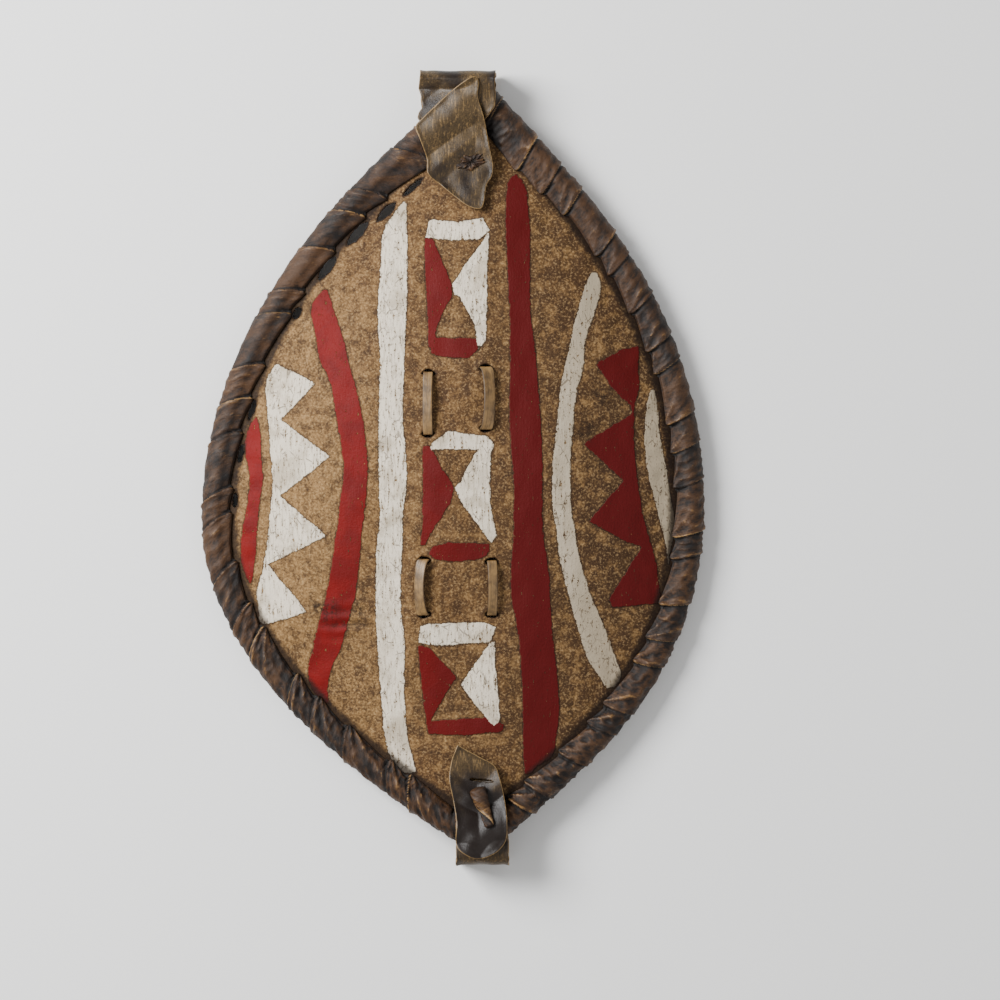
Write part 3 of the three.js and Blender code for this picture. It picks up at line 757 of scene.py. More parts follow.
@dataclass(frozen=True)
class CarvedHardwood(Finish):
    """Hard bush wood split from a branch and shaped with a knife, then darkened by hands.

    It gives the eye long reddish-brown grain with knife facets, and a dark polish where it is held.
    """

    heart: str = "#66432a"
    late: str = "#382113"
    polish: str = "#1f1109"

    def weave(self, shader: Shader) -> None:
        """Builds grain that runs along the shield, 2 mm apart, darker at the middle of the grip."""
        place = shader.place()
        grain = shader.noise(shader.stretch(place, (1.0, 0.035, 1.0)), 2.0, 4, 0.6)
        pores = shader.noise(shader.stretch(place, (1.0, 0.06, 1.0)), 0.7, 2, 0.6)
        cloud = shader.noise(place, 45, 3, 0.6)
        colour = shader.mix(shader.ramp(grain, 0.35, 0.68), linear(self.heart), linear(self.late))
        colour = shader.mix(shader.ramp(pores, 0.6, 0.75, 0.0, 0.6), colour, linear(self.polish))
        worn = shader.ramp(shader.math("ADD", shader.value("handled"), cloud), 0.6, 1.6, 0.0, 0.75)
        colour = shader.mix(worn, colour, linear(self.polish))
        height = shader.math("ADD", grain, shader.math("MULTIPLY", pores, 0.6))
        rough = shader.math("SUBTRACT", grain, shader.value("handled"))
        roughness = shader.ramp(rough, -0.6, 0.8, 0.34, 0.66)
        shader.finish(colour, roughness, shader.relief(height, 0.25), IOR=1.5, Specular_IOR_Level=0.45)


@dataclass(frozen=True)
class StudioPaper(Finish):
    """Seamless white paper, which gives the eye an even pale ground with soft shadows."""

    white: str = "#f2f2f1"

    def weave(self, shader: Shader) -> None:
        """Builds white with a breath of unevenness."""
        cloud = shader.noise(shader.place(), 400, 2, 0.5)
        colour = shader.mix(cloud, linear(self.white), linear("#f5f5f4"))
        shader.finish(colour, shader.ramp(cloud, 0.0, 1.0, 0.85, 0.9), shader.relief(cloud, 0.02))


# ---------------------------------------------------------------- the painted sheet of hide


@dataclass(frozen=True)
class Stripe:
    """A brushed stripe, given as its left and right edges at heights on the shield from its top down."""

    paint: Paint
    sections: tuple[tuple[float, float, float], ...]

    def outline(self) -> Array:
        """The stripe's closed outline."""
        smooth = through(self.sections, 6 * len(self.sections))
        y, left, right = smooth.T
        return np.concatenate([np.column_stack([left, y]), np.column_stack([right, y])[::-1]])


@dataclass(frozen=True)
class Figure:
    """A painted figure with corners, such as a triangle or a row of teeth."""

    paint: Paint
    corners: tuple[Pair, ...]

    def outline(self) -> Array:
        """The figure's closed outline."""
        return np.array(self.corners, float)


STRIPES = (
    Stripe(Paint.WHITE, (
        (205, -38, -35.5), (196, -45, -35.5), (181, -53.5, -35), (152, -55.5, -35), (119, -57.5, -35.5),
        (80, -55.5, -37), (38, -56.5, -38), (-5, -56.5, -35), (-37, -55.5, -38), (-62, -58, -38.5),
        (-101, -59, -40), (-135, -58, -37), (-176, -55, -37), (-209, -52, -34.5), (-235, -44, -28))),
    Stripe(Paint.RED, (
        (138, -100, -97), (123, -109, -92), (99, -105, -84), (82, -102, -80), (66, -94.5, -75.5),
        (38, -89, -69), (1, -83.5, -65), (-24, -86, -66.5), (-48, -89, -69.5), (-67, -92, -71),
        (-90, -95.5, -73.5), (-110, -100.5, -78), (-128, -105.5, -83), (-140, -108, -86.5),
        (-152, -111.5, -92.5), (-166, -110.5, -96.5), (-178, -103.5, -96), (-182, -97.5, -94))),
    Stripe(Paint.RED, (
        (39.5, -153, -151.5), (33, -156.5, -149.5), (22, -160.5, -148.5), (12, -160, -148),
        (-6, -157, -146.5), (-24, -158, -148.5), (-46, -162, -150.5), (-63, -164, -152),
        (-77, -162.5, -153.5), (-90, -157, -155.5))),
    Stripe(Paint.RED, (
        (226, 46.5, 49.5), (217, 42, 56), (200, 41, 58), (182, 41, 59.5), (146, 42.5, 59.5),
        (120, 44, 60), (85, 44, 64), (31, 44, 68), (-10, 47, 69), (-50, 46.5, 69.5), (-76, 45, 73.5),
        (-100, 45.5, 75), (-125, 50, 76.5), (-150, 52.5, 79.5), (-182, 54, 82), (-210, 54, 79.5),
        (-222, 54.5, 77), (-229, 55, 67), (-236, 56, 60))),
    Stripe(Paint.WHITE, (
        (151, 107, 111.5), (139, 101.5, 114.5), (123, 97, 110.5), (109, 93, 105.5), (95, 90.5, 101.5),
        (77, 86, 100.5), (57, 82.5, 95), (36, 80.5, 93), (15, 78, 91), (-10, 76.5, 90.5), (-30, 77, 91),
        (-50, 80, 94), (-73, 83, 98.5), (-97, 89, 106), (-122, 96, 116.5), (-148, 104.5, 126),
        (-160, 112.5, 130), (-170, 119, 125))),
    Stripe(Paint.WHITE, (
        (60, 153, 156), (48, 150, 158), (25, 148, 160), (0, 150, 165), (-22, 155, 168), (-41, 160, 172),
        (-52, 163, 171), (-62, 165, 168.5), (-74, 166, 167))),
)

ROWS_OF_TEETH = (
    Figure(Paint.WHITE, (
        (-137, 80.5), (-121, 73), (-105.5, 65), (-132.5, 37), (-94, 8.5), (-133, -21.5), (-97, -52.5),
        (-143, -74.5), (-112, -111), (-144.5, -121), (-149.5, -119), (-151.5, -95), (-146, -76),
        (-142.5, -56), (-138.5, -12), (-141.5, 27), (-144.5, 60), (-142.5, 71))),
    Figure(Paint.RED, (
        (110.5, 80), (130, 91), (144, 94.5), (143, 77), (144, 63.5), (140, 47), (139.5, 22), (142, -8),
        (146.5, -35), (157, -73.5), (161, -100.5), (158, -104.5), (122.5, -107.5), (120.5, -100.5),
        (146, -61), (134, -57), (117.5, -48), (104.5, -41), (131.5, -10), (100.5, 18.5), (138.5, 42),
        (137, 48), (123, 61))),
)

HOURGLASSES = (
    Figure(Paint.WHITE, ((-18, 191), (4.5, 189), (23, 192), (28, 183), (21, 175.5), (1, 175), (-21, 177))),
    Figure(Paint.WHITE, (
        (28, 183), (22, 172), (9.5, 155.5), (0, 140), (1, 133), (5, 131.5), (17, 110.5), (20, 90), (25.5, 98),
        (26.5, 124), (26.5, 149))),
    Figure(Paint.RED, (
        (-21.5, 177), (-15, 176.5), (-1, 141.5), (0, 133), (-8.5, 117), (-13, 104.5), (-12.5, 100), (18, 99),
        (20, 91), (12.5, 83.5), (-8, 85), (-16, 87.5), (-18.5, 95), (-20, 131.5), (-21.5, 157))),
    Figure(Paint.WHITE, ((-16.5, 18), (-3, 28), (9.5, 26), (26.5, 24), (32.5, 17.5), (17, 14), (-16.5, 14))),
    Figure(Paint.WHITE, (
        (32.5, 18), (20, 15), (6, -11), (1.5, -15.5), (6, -25), (15.5, -38), (26.5, -53.5), (30, -57.5),
        (34, -52.5), (29.5, -32), (28.5, -11.5), (29.5, 12))),
    Figure(Paint.RED, (
        (-23, 16.5), (-18, 17), (-7.5, -1), (1.5, -14.5), (-1.5, -27), (-9.5, -39.5), (-17, -51),
        (-21, -59.5), (-24, -59.5), (-22.5, -25))),
    Figure(Paint.RED, (
        (-18, -66.5), (-15.5, -60.5), (-3, -57.5), (28.5, -58.5), (28.5, -64), (25, -69), (5.5, -72),
        (-13, -70.5))),
    Figure(Paint.WHITE, (
        (-25, -121.5), (-17, -120), (22.5, -118.5), (33.5, -122.5), (28.5, -134), (6, -135.5), (-9.5, -137),
        (-26, -134))),
    Figure(Paint.WHITE, (
        (32.5, -133), (28.5, -135.5), (6, -166.5), (18, -183.5), (27, -193.5), (31.5, -199), (36.5, -195),
        (35, -172), (32.5, -152))),
    Figure(Paint.RED, (
        (-26.5, -136), (-18, -138.5), (3, -161), (-5.5, -174), (-17, -195), (1.5, -193.5), (25.5, -192),
        (40, -197.5), (38.5, -203), (10, -206), (-18.5, -205), (-20, -199), (-24, -165))),
)


@dataclass(frozen=True)
class Slit:
    """A knife slit that has pulled open: pointed at both ends, with a ragged edge."""

    x: float
    y: float
    length: float
    width: float
    turn: float = 0.0

    def distance(self, x: Array, y: Array) -> Array:
        """Distance from places to the slit's edge, negative in the slit.

        Args:
            x, y: places on the shield.
        Returns:
            The distance at each place.
        """
        dx, dy = x - self.x, y - self.y
        along = dx * math.cos(self.turn) + dy * math.sin(self.turn)
        across = dy * math.cos(self.turn) - dx * math.sin(self.turn)
        open_here = np.clip(1 - np.abs(2 * along / self.length) ** 2.4, 0, 1) * self.width / 2
        beyond = np.maximum(np.abs(along) - self.length / 2, 0.0)
        ragged = 0.3 * ripple(x, y, 5, int(self.length * 10))
        aside = np.abs(across) - open_here
        return np.hypot(aside, beyond) * np.sign(aside + beyond) + ragged


@dataclass
class HideSheet:
    """The domed sheet of rawhide with its slits, thong holes, wrinkles and paint."""

    spacing: float = 1.75
    tip: float = 13.0
    thong_holes: tuple[Pair, ...] = (
        (-18.6, 72.5), (-18.6, 26), (25.5, 76.5), (25.5, 30),
        (-22, -71), (-22, -112.5), (30, -72), (30, -112.5))
    # Each slit that has pulled open: its share of the way along the left stick, inwards, length and width.
    open_slits: tuple[tuple[float, float, float, float], ...] = (
        (0.118, 23, 19, 3.2), (0.158, 22.3, 18, 5.2), (0.196, 17, 22, 5.8), (0.246, 15.6, 21, 6),
        (0.305, 15.6, 9, 5), (0.422, 15.2, 17, 2.8), (0.472, 15, 15, 3), (0.525, 15, 11.5, 2.8))
    # Each dark stain: where it is and how wide.
    stains: tuple[tuple[float, float, float], ...] = (
        (-104, -107, 7), (-72, -111, 6), (-96, -110, 9), (114, 55, 8), (102, 30, 9), (-60, 15, 5))

    def holes(self) -> list[Slit]:
        """The thongs' holes and the open slits."""
        holes = [Slit(x, y, 11.0, 5.6) for x, y in self.thong_holes]
        for share, inwards, length, width in self.open_slits:
            place = np.array(share * LEFT.length)
            inward = LEFT.inward(place)
            x, y = LEFT.at(place) + inwards * inward
            turn = math.atan2(inward[1], inward[0]) + math.pi / 2
            holes.append(Slit(float(x), float(y), length + 3, width + 1, turn))
        return holes

    @staticmethod
    def creases(x: Array, y: Array) -> Array:
        """The cross wrinkles at the lower left, from -1 in their valleys to 1 on their ridges."""
        wave = np.sin((y + 0.12 * x + 2 * np.sin(x / 9)) / 1.7)
        return bump(y + 119, 12) * bump(x + 80, 26) * wave

    def relief(self, x: Array, y: Array, edge: Array, hole: Array) -> Array:
        """How far the dried skin stands off its even dome, in millimetres.

        Args:
            x, y: places on the shield.
            edge: distance from each place to the rim.
            hole: distance from each place to the nearest hole.
        Returns:
            The relief at each place.
        """
        free = smoothstep((edge - 14) / 10) * smoothstep((212 - np.abs(y + 4)) / 20)
        swell = 0.55 * ripple(x, y, 70, 3) + 0.16 * ripple(x, y, 17, 4)
        creases = 0.9 * self.creases(x, y)
        rays = np.sin(np.arctan2(y + 20, x - 12) * 58)
        fan = 0.5 * rays * smoothstep((edge - 15) / 6) * bump(edge - 15, 14)
        lip = 0.5 * bump(hole - 1.5, 2.4)
        return free * (swell + creases + fan) + lip * smoothstep((edge - 16) / 4)

    def build(self) -> bpy.types.Object:
        """Builds the sheet, with the distances to each paint at its points."""
        x, y = even_grid((-178, -276), (178, 277), self.spacing)
        between = (x > LEFT.x_at(y)) & (x < RIGHT.x_at(y)) & (y < TOP[1]) & (y > BOTTOM[1])
        to_rim = np.where(between, rim_distance(x, y), -5.0)
        outside = np.maximum(HIDE_INSET - to_rim, np.maximum(y - TOP[1] + self.tip, BOTTOM[1] + self.tip - y))
        holes = self.holes()
        for hole in holes:
            outside = np.maximum(outside, -hole.distance(x, y))

        def top(px: Array, py: Array) -> Array:
            """Height of the painted face."""
            edge = rim_distance(px, py)
            hole = np.min([h.distance(px, py) for h in holes[:len(self.thong_holes)]], axis=0)
            return hide_height(px, py) + HIDE_THICKNESS / 2 + self.relief(px, py, edge, hole)

        points, faces, px, py = clipped_sheet(x, y, outside, top, HIDE_THICKNESS)
        values = {paint.value: np.full(px.shape, 14.0) for paint in Paint}
        for shape in STRIPES + ROWS_OF_TEETH + HOURGLASSES:
            key = shape.paint.value
            values[key] = np.minimum(values[key], signed_distance(shape.outline(), px, py))
        under = np.arange(len(px)) >= len(px) // 2
        for paint in Paint:
            values[paint.value][under] = 14.0
        edge = rim_distance(px, py)
        hole = np.min([h.distance(px, py) for h in holes], axis=0)
        by_hole = 0.9 * bump(np.maximum(hole, 0), 1.3)
        # Darker just inside the winding and round every hole.
        values["rim_and_hole_darkening"] = np.clip(bump(np.maximum(edge - 12, 0), 7) + by_hole, 0, 1)
        stains = [bump(np.hypot(px - a, py - b), size) for a, b, size in self.stains]
        # Painted shade: the valleys of the cross wrinkles are darkened, and kept with the real stains.
        valleys = np.clip(-0.8 * self.creases(px, py), 0, 1)
        values["stain_and_crease_shade"] = np.max([*stains, valleys], axis=0)
        values["speckle"] = np.maximum(bump(np.hypot((px + 85) / 1.1, py + 165), 42), 0.3)
        values["shield_x"] = px
        return make_piece("painted_hide", points, faces, values)

    def dress(self, piece: bpy.types.Object) -> None:
        """Stands the piece in for the sheet and gives it its finish."""
        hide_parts("hide_sheet")
        PaintedRawhide("Painted rawhide", "painted_rawhide").dress(piece)


# ---------------------------------------------------------------- the wound rim


@dataclass
class Winding:
    """A strip of hide wound round one stick, whose turns come up out of slits and overlap."""

    name: str
    node: str
    stick: RimStick
    seed: int
    gather: tuple[tuple[float, ...], tuple[float, ...]]  # shares along the stick, and the folds' depth there
    slant: float  # how far a turn's edge runs along the rim on its way from the slit to the outer side
    step: float = 0.8
    facing: int = 52  # points round the outside of the section
    lift: float = 0.9
    lip_short: float = 9.5
    lip_long: float = 13.2
    lip_back: float = 11.5
    top_reach: float = 7.0
    beyond: float = 0.022

    def starts(self) -> Array:
        """Where each turn's edge meets its slit, from one turn before the stick to one after it."""
        turn = np.arange(-2, self.stick.turns + 3)
        return self.stick.length * (turn + 0.22 * np.sin(2.4 * turn + self.stick.phase)) / self.stick.turns

    def turn_at(self, place: Array) -> tuple[Array, Array, Array]:
        """Which turn covers a place, how far past the turn's edge it is and how far before the next edge.

        Args:
            place: places along the stick.
        Returns:
            The turn's number and the two distances, which change places on the right side.
        """
        starts = self.starts()
        turn = np.clip(np.searchsorted(starts, place, side="right") - 1, 0, len(starts) - 2)
        past, ahead = place - starts[turn], starts[turn + 1] - place
        return (turn, ahead, past) if self.stick.sign > 0 else (turn, past, ahead)

    def section(self, place: Array) -> tuple[Array, Array]:
        """The even section of the winding, as inwards and up.

        Args:
            place: places along the stick.
        Returns:
            The outside from the tip on the face to the tip behind, and the inside back again.
        """
        point, inward = self.stick.at(place), self.stick.inward(place)
        height = rim_height(point[:, 1])

        def hide(inwards: Array | float) -> Array:
            """Height of the hide above the stick's centre line."""
            spot = point + inward * np.reshape(inwards, (-1, 1))
            return hide_height(spot[:, 0], spot[:, 1]) - height

        _, past, ahead = self.turn_at(place)
        share = np.clip(1 - past / (past + ahead), 0, 1) ** 1.3 * smoothstep(past / 1.6 + 0.1)
        share = np.maximum(share, 0.6 * bump(ahead, 1.5))
        reach = self.top_reach * (1 - smoothstep((place / self.stick.length - 0.08) / 0.12))
        lip = self.lip_short + (self.lip_long - self.lip_short) * share + reach
        ones = np.ones_like(place)
        clear = HIDE_THICKNESS / 2 + 0.55

        def arc(degrees: float, radius: float) -> Array:
            """A point of the round part of the section."""
            angle = math.radians(degrees)
            return np.stack([radius * math.cos(angle) * ones, radius * math.sin(angle) * ones], axis=-1)

        def spot(inwards: Array | float, up: Array) -> Array:
            """A point beside the hide."""
            return np.stack([inwards * ones, up], axis=-1)

        radius = WRAP_RADIUS - 0.2
        back = self.lip_back
        brow = lip * 0.55 + 3.6
        outer = [
            spot(lip, hide(lip) + clear + 0.1), spot(lip + 0.5, hide(lip) + clear + 1.0),
            spot(lip - 0.3, hide(lip) + clear + 1.9), spot(brow, hide(brow) + clear + 3.6),
            *[arc(a, radius) for a in (62, 84, 106, 128, 150, 172, 194, 216, 238, 260, 282, 304, 326)],
            spot(back, hide(back) - clear - 1.6), spot(back + 0.3, hide(back) - clear - 0.8),
            spot(back, hide(back) - clear)]
        inner = [
            spot(HIDE_INSET, hide(HIDE_INSET) - clear), *[arc(a, 9.0) for a in (326, 278, 228, 178, 128, 78)],
            spot(HIDE_INSET, hide(HIDE_INSET) + clear)]
        outside = through(np.stack(outer), self.facing).transpose(1, 0, 2)
        return outside, np.stack(inner, axis=1)

    def folds(self, place: Array, across: Array) -> tuple[Array, dict[str, Array]]:
        """The strip's overlaps, creases and folds.

        Args:
            place: places along the stick.
            across: distances from the tip on the face, over the outside.
        Returns:
            How far each place stands out, and the numbers that the finish reads.
        """
        travelled = place - self.slant * smoothstep(across / 38)
        turn, past, ahead = self.turn_at(travelled)
        pitch = past + ahead
        rng = np.random.default_rng(self.seed)
        count = len(self.starts())
        chance = [rng.uniform(0, 1, count)[turn] for _ in range(6)]
        lift = self.lift * (ahead / pitch) ** 0.8 * smoothstep(past / 0.8 + 0.2)
        notch = 0.6 + 1.5 * (1 - smoothstep(across / 15))
        edge = 0.5 * bump(past - 0.9, 0.8) - notch * bump(ahead - 0.4, 1.3)
        angle = np.arctan2(past, across + 2.0)
        radius = np.hypot(past, across)
        sharp = []
        for i in range(3):
            swing = angle * (3.1 + 2.4 * chance[i]) * (i + 1) + 6.3 * chance[i + 1]
            sharp.append(1 - 2 * np.abs(np.sin(swing)))
        fan = 0.42 * sharp[0] + 0.3 * sharp[1] + 0.16 * sharp[2]
        fan = fan * smoothstep(radius / 5) * np.exp(-radius / 26)
        drift = 0.22 * ripple(across, turn * 37.0, 21, self.seed + 5)
        strain = np.abs(np.sin(math.pi * (past / pitch * (2.2 + 2 * chance[4]) + chance[5] + drift)))
        strain = 0.32 * (1 - 2 * strain) * smoothstep(across / 10) * (0.5 + chance[3])
        fine = 0.1 * ripple(travelled * 1.5, across * 0.7, 4.2, self.seed + 9)
        fine = fine + 0.16 * ripple(travelled, across, 11, self.seed + 7)
        gather = np.interp(place / self.stick.length, *self.gather)
        fan = fan * gather
        ridges = 1 - 2 * np.abs(ripple(travelled, across, 11, self.seed + 3))
        lumps = 0.55 * np.clip(gather - 0.9, 0, 1) * ridges
        tar = (1 - smoothstep((place - 30) / 25)) * (1 - smoothstep((across - 12) / 8))
        tar = tar * (self.stick.sign > 0)
        out = lift - 0.45 + edge + 1.6 * fan + strain + fine + lumps + tar * ripple(place, across, 6, 77)
        shade = 0.95 * bump(ahead, 1.9) + 0.7 * bump(across, 2.0) + 0.5 * bump(radius, 3.2)
        values = {
            "along": travelled + turn * 13.7,
            "across": across,
            "tone": 0.25 + 0.65 * chance[2],
            "relief": 1.5 * fan + strain + edge + 0.5 * lift + lumps - 0.2,
            "cut_edge": bump(past - 0.6, 0.9) * (0.35 + 0.65 * chance[1]),
            "shade": np.clip(shade + 0.9 * tar, 0, 0.95),
        }
        return out, values

    def build(self) -> bpy.types.Object:
        """Builds the winding as one closed body, cut where it meets the other side's."""
        length = self.stick.length
        steps = int(length * (1 + 2 * self.beyond) / self.step)
        place = np.linspace(-self.beyond * length, (1 + self.beyond) * length, steps)
        outside, inside = self.section(place)
        edges = np.diff(outside, axis=1)
        travelled = np.cumsum(np.linalg.norm(edges, axis=-1), axis=1)
        across = np.concatenate([np.zeros((steps, 1)), travelled], axis=1)
        slope = np.gradient(outside, axis=1)
        slope /= np.maximum(np.linalg.norm(slope, axis=-1, keepdims=True), 1e-6)
        normal = np.stack([slope[..., 1], -slope[..., 0]], axis=-1)
        middle = [self.facing // 2]
        normal *= np.sign((normal[:, middle] * outside[:, middle]).sum(-1, keepdims=True))
        out, values = self.folds(np.broadcast_to(place[:, None], across.shape), across)
        fade = smoothstep(across / 4) * smoothstep((across[:, -1:] - across) / 6)
        outside = outside + normal * (out * fade)[..., None]
        ring = np.concatenate([outside, inside], axis=1)
        point, inward = self.stick.at(place), self.stick.inward(place)
        xy = point[:, None] + inward[:, None] * ring[..., :1]
        z = np.maximum(rim_height(point[:, 1])[:, None] + ring[..., 1], 0.05)
        points = np.concatenate([xy, z[..., None]], axis=-1)
        seam = TOP[0] + self.stick.sign * 0.2
        side = np.maximum if self.stick.sign > 0 else np.minimum
        points[..., 0] = np.where(np.abs(points[..., 1]) > 225, side(points[..., 0], seam), points[..., 0])
        points[..., 1] = np.clip(points[..., 1], -302.3, 302.3)
        unseen = np.zeros(inside.shape[:2])
        padded = {}
        for key, numbers in values.items():
            padded[key] = np.concatenate([np.broadcast_to(numbers, across.shape), unseen], axis=1)
        return make_piece(self.name, points, loft_faces(steps, ring.shape[1]), padded)

    def dress(self, piece: bpy.types.Object) -> None:
        """Stands the piece in for its winding."""
        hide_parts(self.node)


# ---------------------------------------------------------------- the folded straps


def strap_height(x: Array, y: Array) -> Array:
    """Height of the middle of a strap that lies over the hide and bends over the wound rim.

    Args:
        x, y: places on the shield.
    Returns:
        The height at each place.
    """
    distance = rim_distance(x, y)
    lips = 4.2 * (1 - smoothstep((distance - 23) / 13))
    over_hide = hide_height(x, y) + HIDE_THICKNESS / 2 + 0.8 + lips
    over_rim = rim_height(y) + STRAP_RIDGE * (1 - smoothstep(distance / 38)) + 0.4
    return np.maximum(over_hide, over_rim) + STRAP_THICKNESS / 2


@dataclass
class ApexBand:
    """A strap folded over one point of the shield, from its face to under the end of the stave."""

    name: str
    node: str
    sign: int
    front: tuple[tuple[float, float, float], ...]
    fold: Pair
    back: tuple[tuple[float, float, float], ...]
    seed: int
    radius: float = 8.0
    columns: int = 44

    def build(self) -> bpy.types.Object:
        """Builds the band as one closed strap with rolled edges."""
        half = STRAP_THICKNESS / 2
        shoulder = HALF_LENGTH - half - self.radius
        top = float(rim_height(TOP[1])) + STRAP_RIDGE + 0.4 + half
        rows: list[tuple[float, float | None, float, float, float]] = []
        for y, left, right in through(self.front, 46):
            rows.append((y, None, left, right, 90.0))
        for centre, start, end in ((top - self.radius, 80.0, 0.0), (half + self.radius, 0.0, -90.0)):
            for angle in np.linspace(start, end, 12):
                turn = math.radians(angle)
                y = self.sign * (shoulder + self.radius * math.cos(turn))
                rows.append((y, centre + self.radius * math.sin(turn), *self.fold, angle))
        for y, left, right in through(self.back, 14):
            rows.append((y, half, left, right, -90.0))
        share = np.linspace(0, 1, self.columns)
        rings, edge_values = [], []
        for number, (y, z, left, right, angle) in enumerate(rows):
            sway = ripple(share * 0, np.full(share.shape, number * 2.2), 16, self.seed)
            x = left + (right - left) * share + 0.5 * sway
            to_edge = np.minimum(x - x[0], x[-1] - x)
            height = strap_height(x, np.full(x.shape, y)) if z is None else np.full(x.shape, z)
            swell = ripple(x, np.full(x.shape, number * 2.0), 18, self.seed + 1)
            curl = 0.7 * bump(to_edge, 2.6) + 0.18 * swell
            curl = curl * (0.0 if angle < -60 else 1.0)
            turn = math.radians(angle)
            normal = np.array([0.0, self.sign * math.cos(turn), math.sin(turn)])
            line = np.column_stack([x, np.full(x.shape, y), height]) + normal * curl[:, None]
            rings.append(np.concatenate([line + normal * half, (line - normal * half)[::-1]]))
            edge_values.append(np.concatenate([to_edge, to_edge[::-1]]))
        points, to_edge = np.array(rings), np.array(edge_values)
        points[..., 2] = np.maximum(points[..., 2], 0.02)
        along = np.broadcast_to(np.arange(len(rows))[:, None], to_edge.shape)
        values = {
            "cut_edge": bump(to_edge, 0.9),
            "tone": 0.55 + 0.3 * ripple(points[..., 0], points[..., 1], 30, self.seed + 2),
            "shade": 0.35 * (along > 70),
        }
        return make_piece(self.name, points, loft_faces(len(rows), points.shape[1]), values)

    def dress(self, piece: bpy.types.Object) -> None:
        """Stands the piece in for its strap."""
        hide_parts(self.node)


@dataclass
class Leaf:
    """A cut end of strap that lies on the face, over the band."""

    name: str
    node: str
    outline: tuple[Pair, ...]
    seed: int
    rise: float  # how far the leaf stands over the band
    dark: Pair  # the heights on the shield between which the leaf turns dark
    dark_tone: float
    spacing: float = 0.8
    thickness: float = 1.9
    slit: Slit | None = None

    def build(self) -> bpy.types.Object:
        """Builds the leaf with a rolled, worn edge."""
        outline = through(self.outline, 12 * len(self.outline), closed=True)
        low, high = outline.min(0) - 2, outline.max(0) + 2
        x, y = even_grid(tuple(low), tuple(high), self.spacing)
        outside = signed_distance(outline, x, y, 40.0)
        if self.slit:
            outside = np.maximum(outside, -self.slit.distance(x, y))

        def top(px: Array, py: Array) -> Array:
            """Height of the leaf's upper face."""
            inside = -signed_distance(outline, px, py, 40.0)
            curl = 0.9 * bump(inside, 1.9) + 0.3 * ripple(px, py, 15, self.seed)
            return strap_height(px, py) + STRAP_THICKNESS / 2 + self.rise + curl

        points, faces, px, py = clipped_sheet(x, y, outside, top, self.thickness)
        inside = -signed_distance(outline, px, py, 40.0)
        fall = smoothstep((self.dark[0] - py) / (self.dark[0] - self.dark[1]))
        values = {
            "cut_edge": bump(inside, 1.0),
            "tone": 0.75 - fall * self.dark_tone + 0.16 * ripple(px, py, 26, self.seed + 2),
            "shade": np.zeros(px.shape),
        }
        return make_piece(self.name, points, faces, values)

    def dress(self, piece: bpy.types.Object) -> None:
        """Stands the piece in for its strap, with the band."""
        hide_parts(self.node)


# ---------------------------------------------------------------- knot, toggle, thongs and stave


@dataclass
class ShrunkenKnot:
    """The dried thong end that pins the tongue: a crumpled lump with a pit in it."""

    centre: Pair = (14.0, 235.0)
    size: tuple[float, float, float] = (10.0, 5.4, 2.6)
    turn: float = 0.28

    def build(self) -> bpy.types.Object:
        """Builds the lump."""
        rings, size = 40, 64
        down, round_it = np.linspace(0.03, math.pi - 0.03, rings), np.arange(size) * 2 * math.pi / size
        polar, azimuth = np.meshgrid(down, round_it, indexing="ij")
        crumple = 1 + 0.16 * np.sin(5 * azimuth + 3 * polar) + 0.1 * np.sin(11 * azimuth - 4 * polar)
        crumple = crumple + 0.07 * np.sin(19 * azimuth + 7 * polar)
        x = self.size[0] * np.sin(polar) * np.cos(azimuth) * crumple
        y = self.size[1] * np.sin(polar) * np.sin(azimuth) * crumple
        z = self.size[2] * np.cos(polar) * crumple - 1.6 * bump(np.hypot(x * 0.5, y), 2.0) * (polar < 1.6)
        cos, sin = math.cos(self.turn), math.sin(self.turn)
        px, py = self.centre[0] + x * cos - y * sin, self.centre[1] + x * sin + y * cos
        base = strap_height(px, py) + STRAP_THICKNESS / 2 + 3.0
        values = {
            "along": px, "across": py, "tone": np.full(px.shape, 0.25), "relief": 2.2 * (crumple - 1),
            "cut_edge": np.zeros(px.shape), "shade": 0.8 * bump(np.hypot(x * 0.5, y), 2.4)}
        points = np.stack([px, py, base + z], axis=-1)
        return make_piece("tongue_knot", points, loft_faces(rings, size), values)


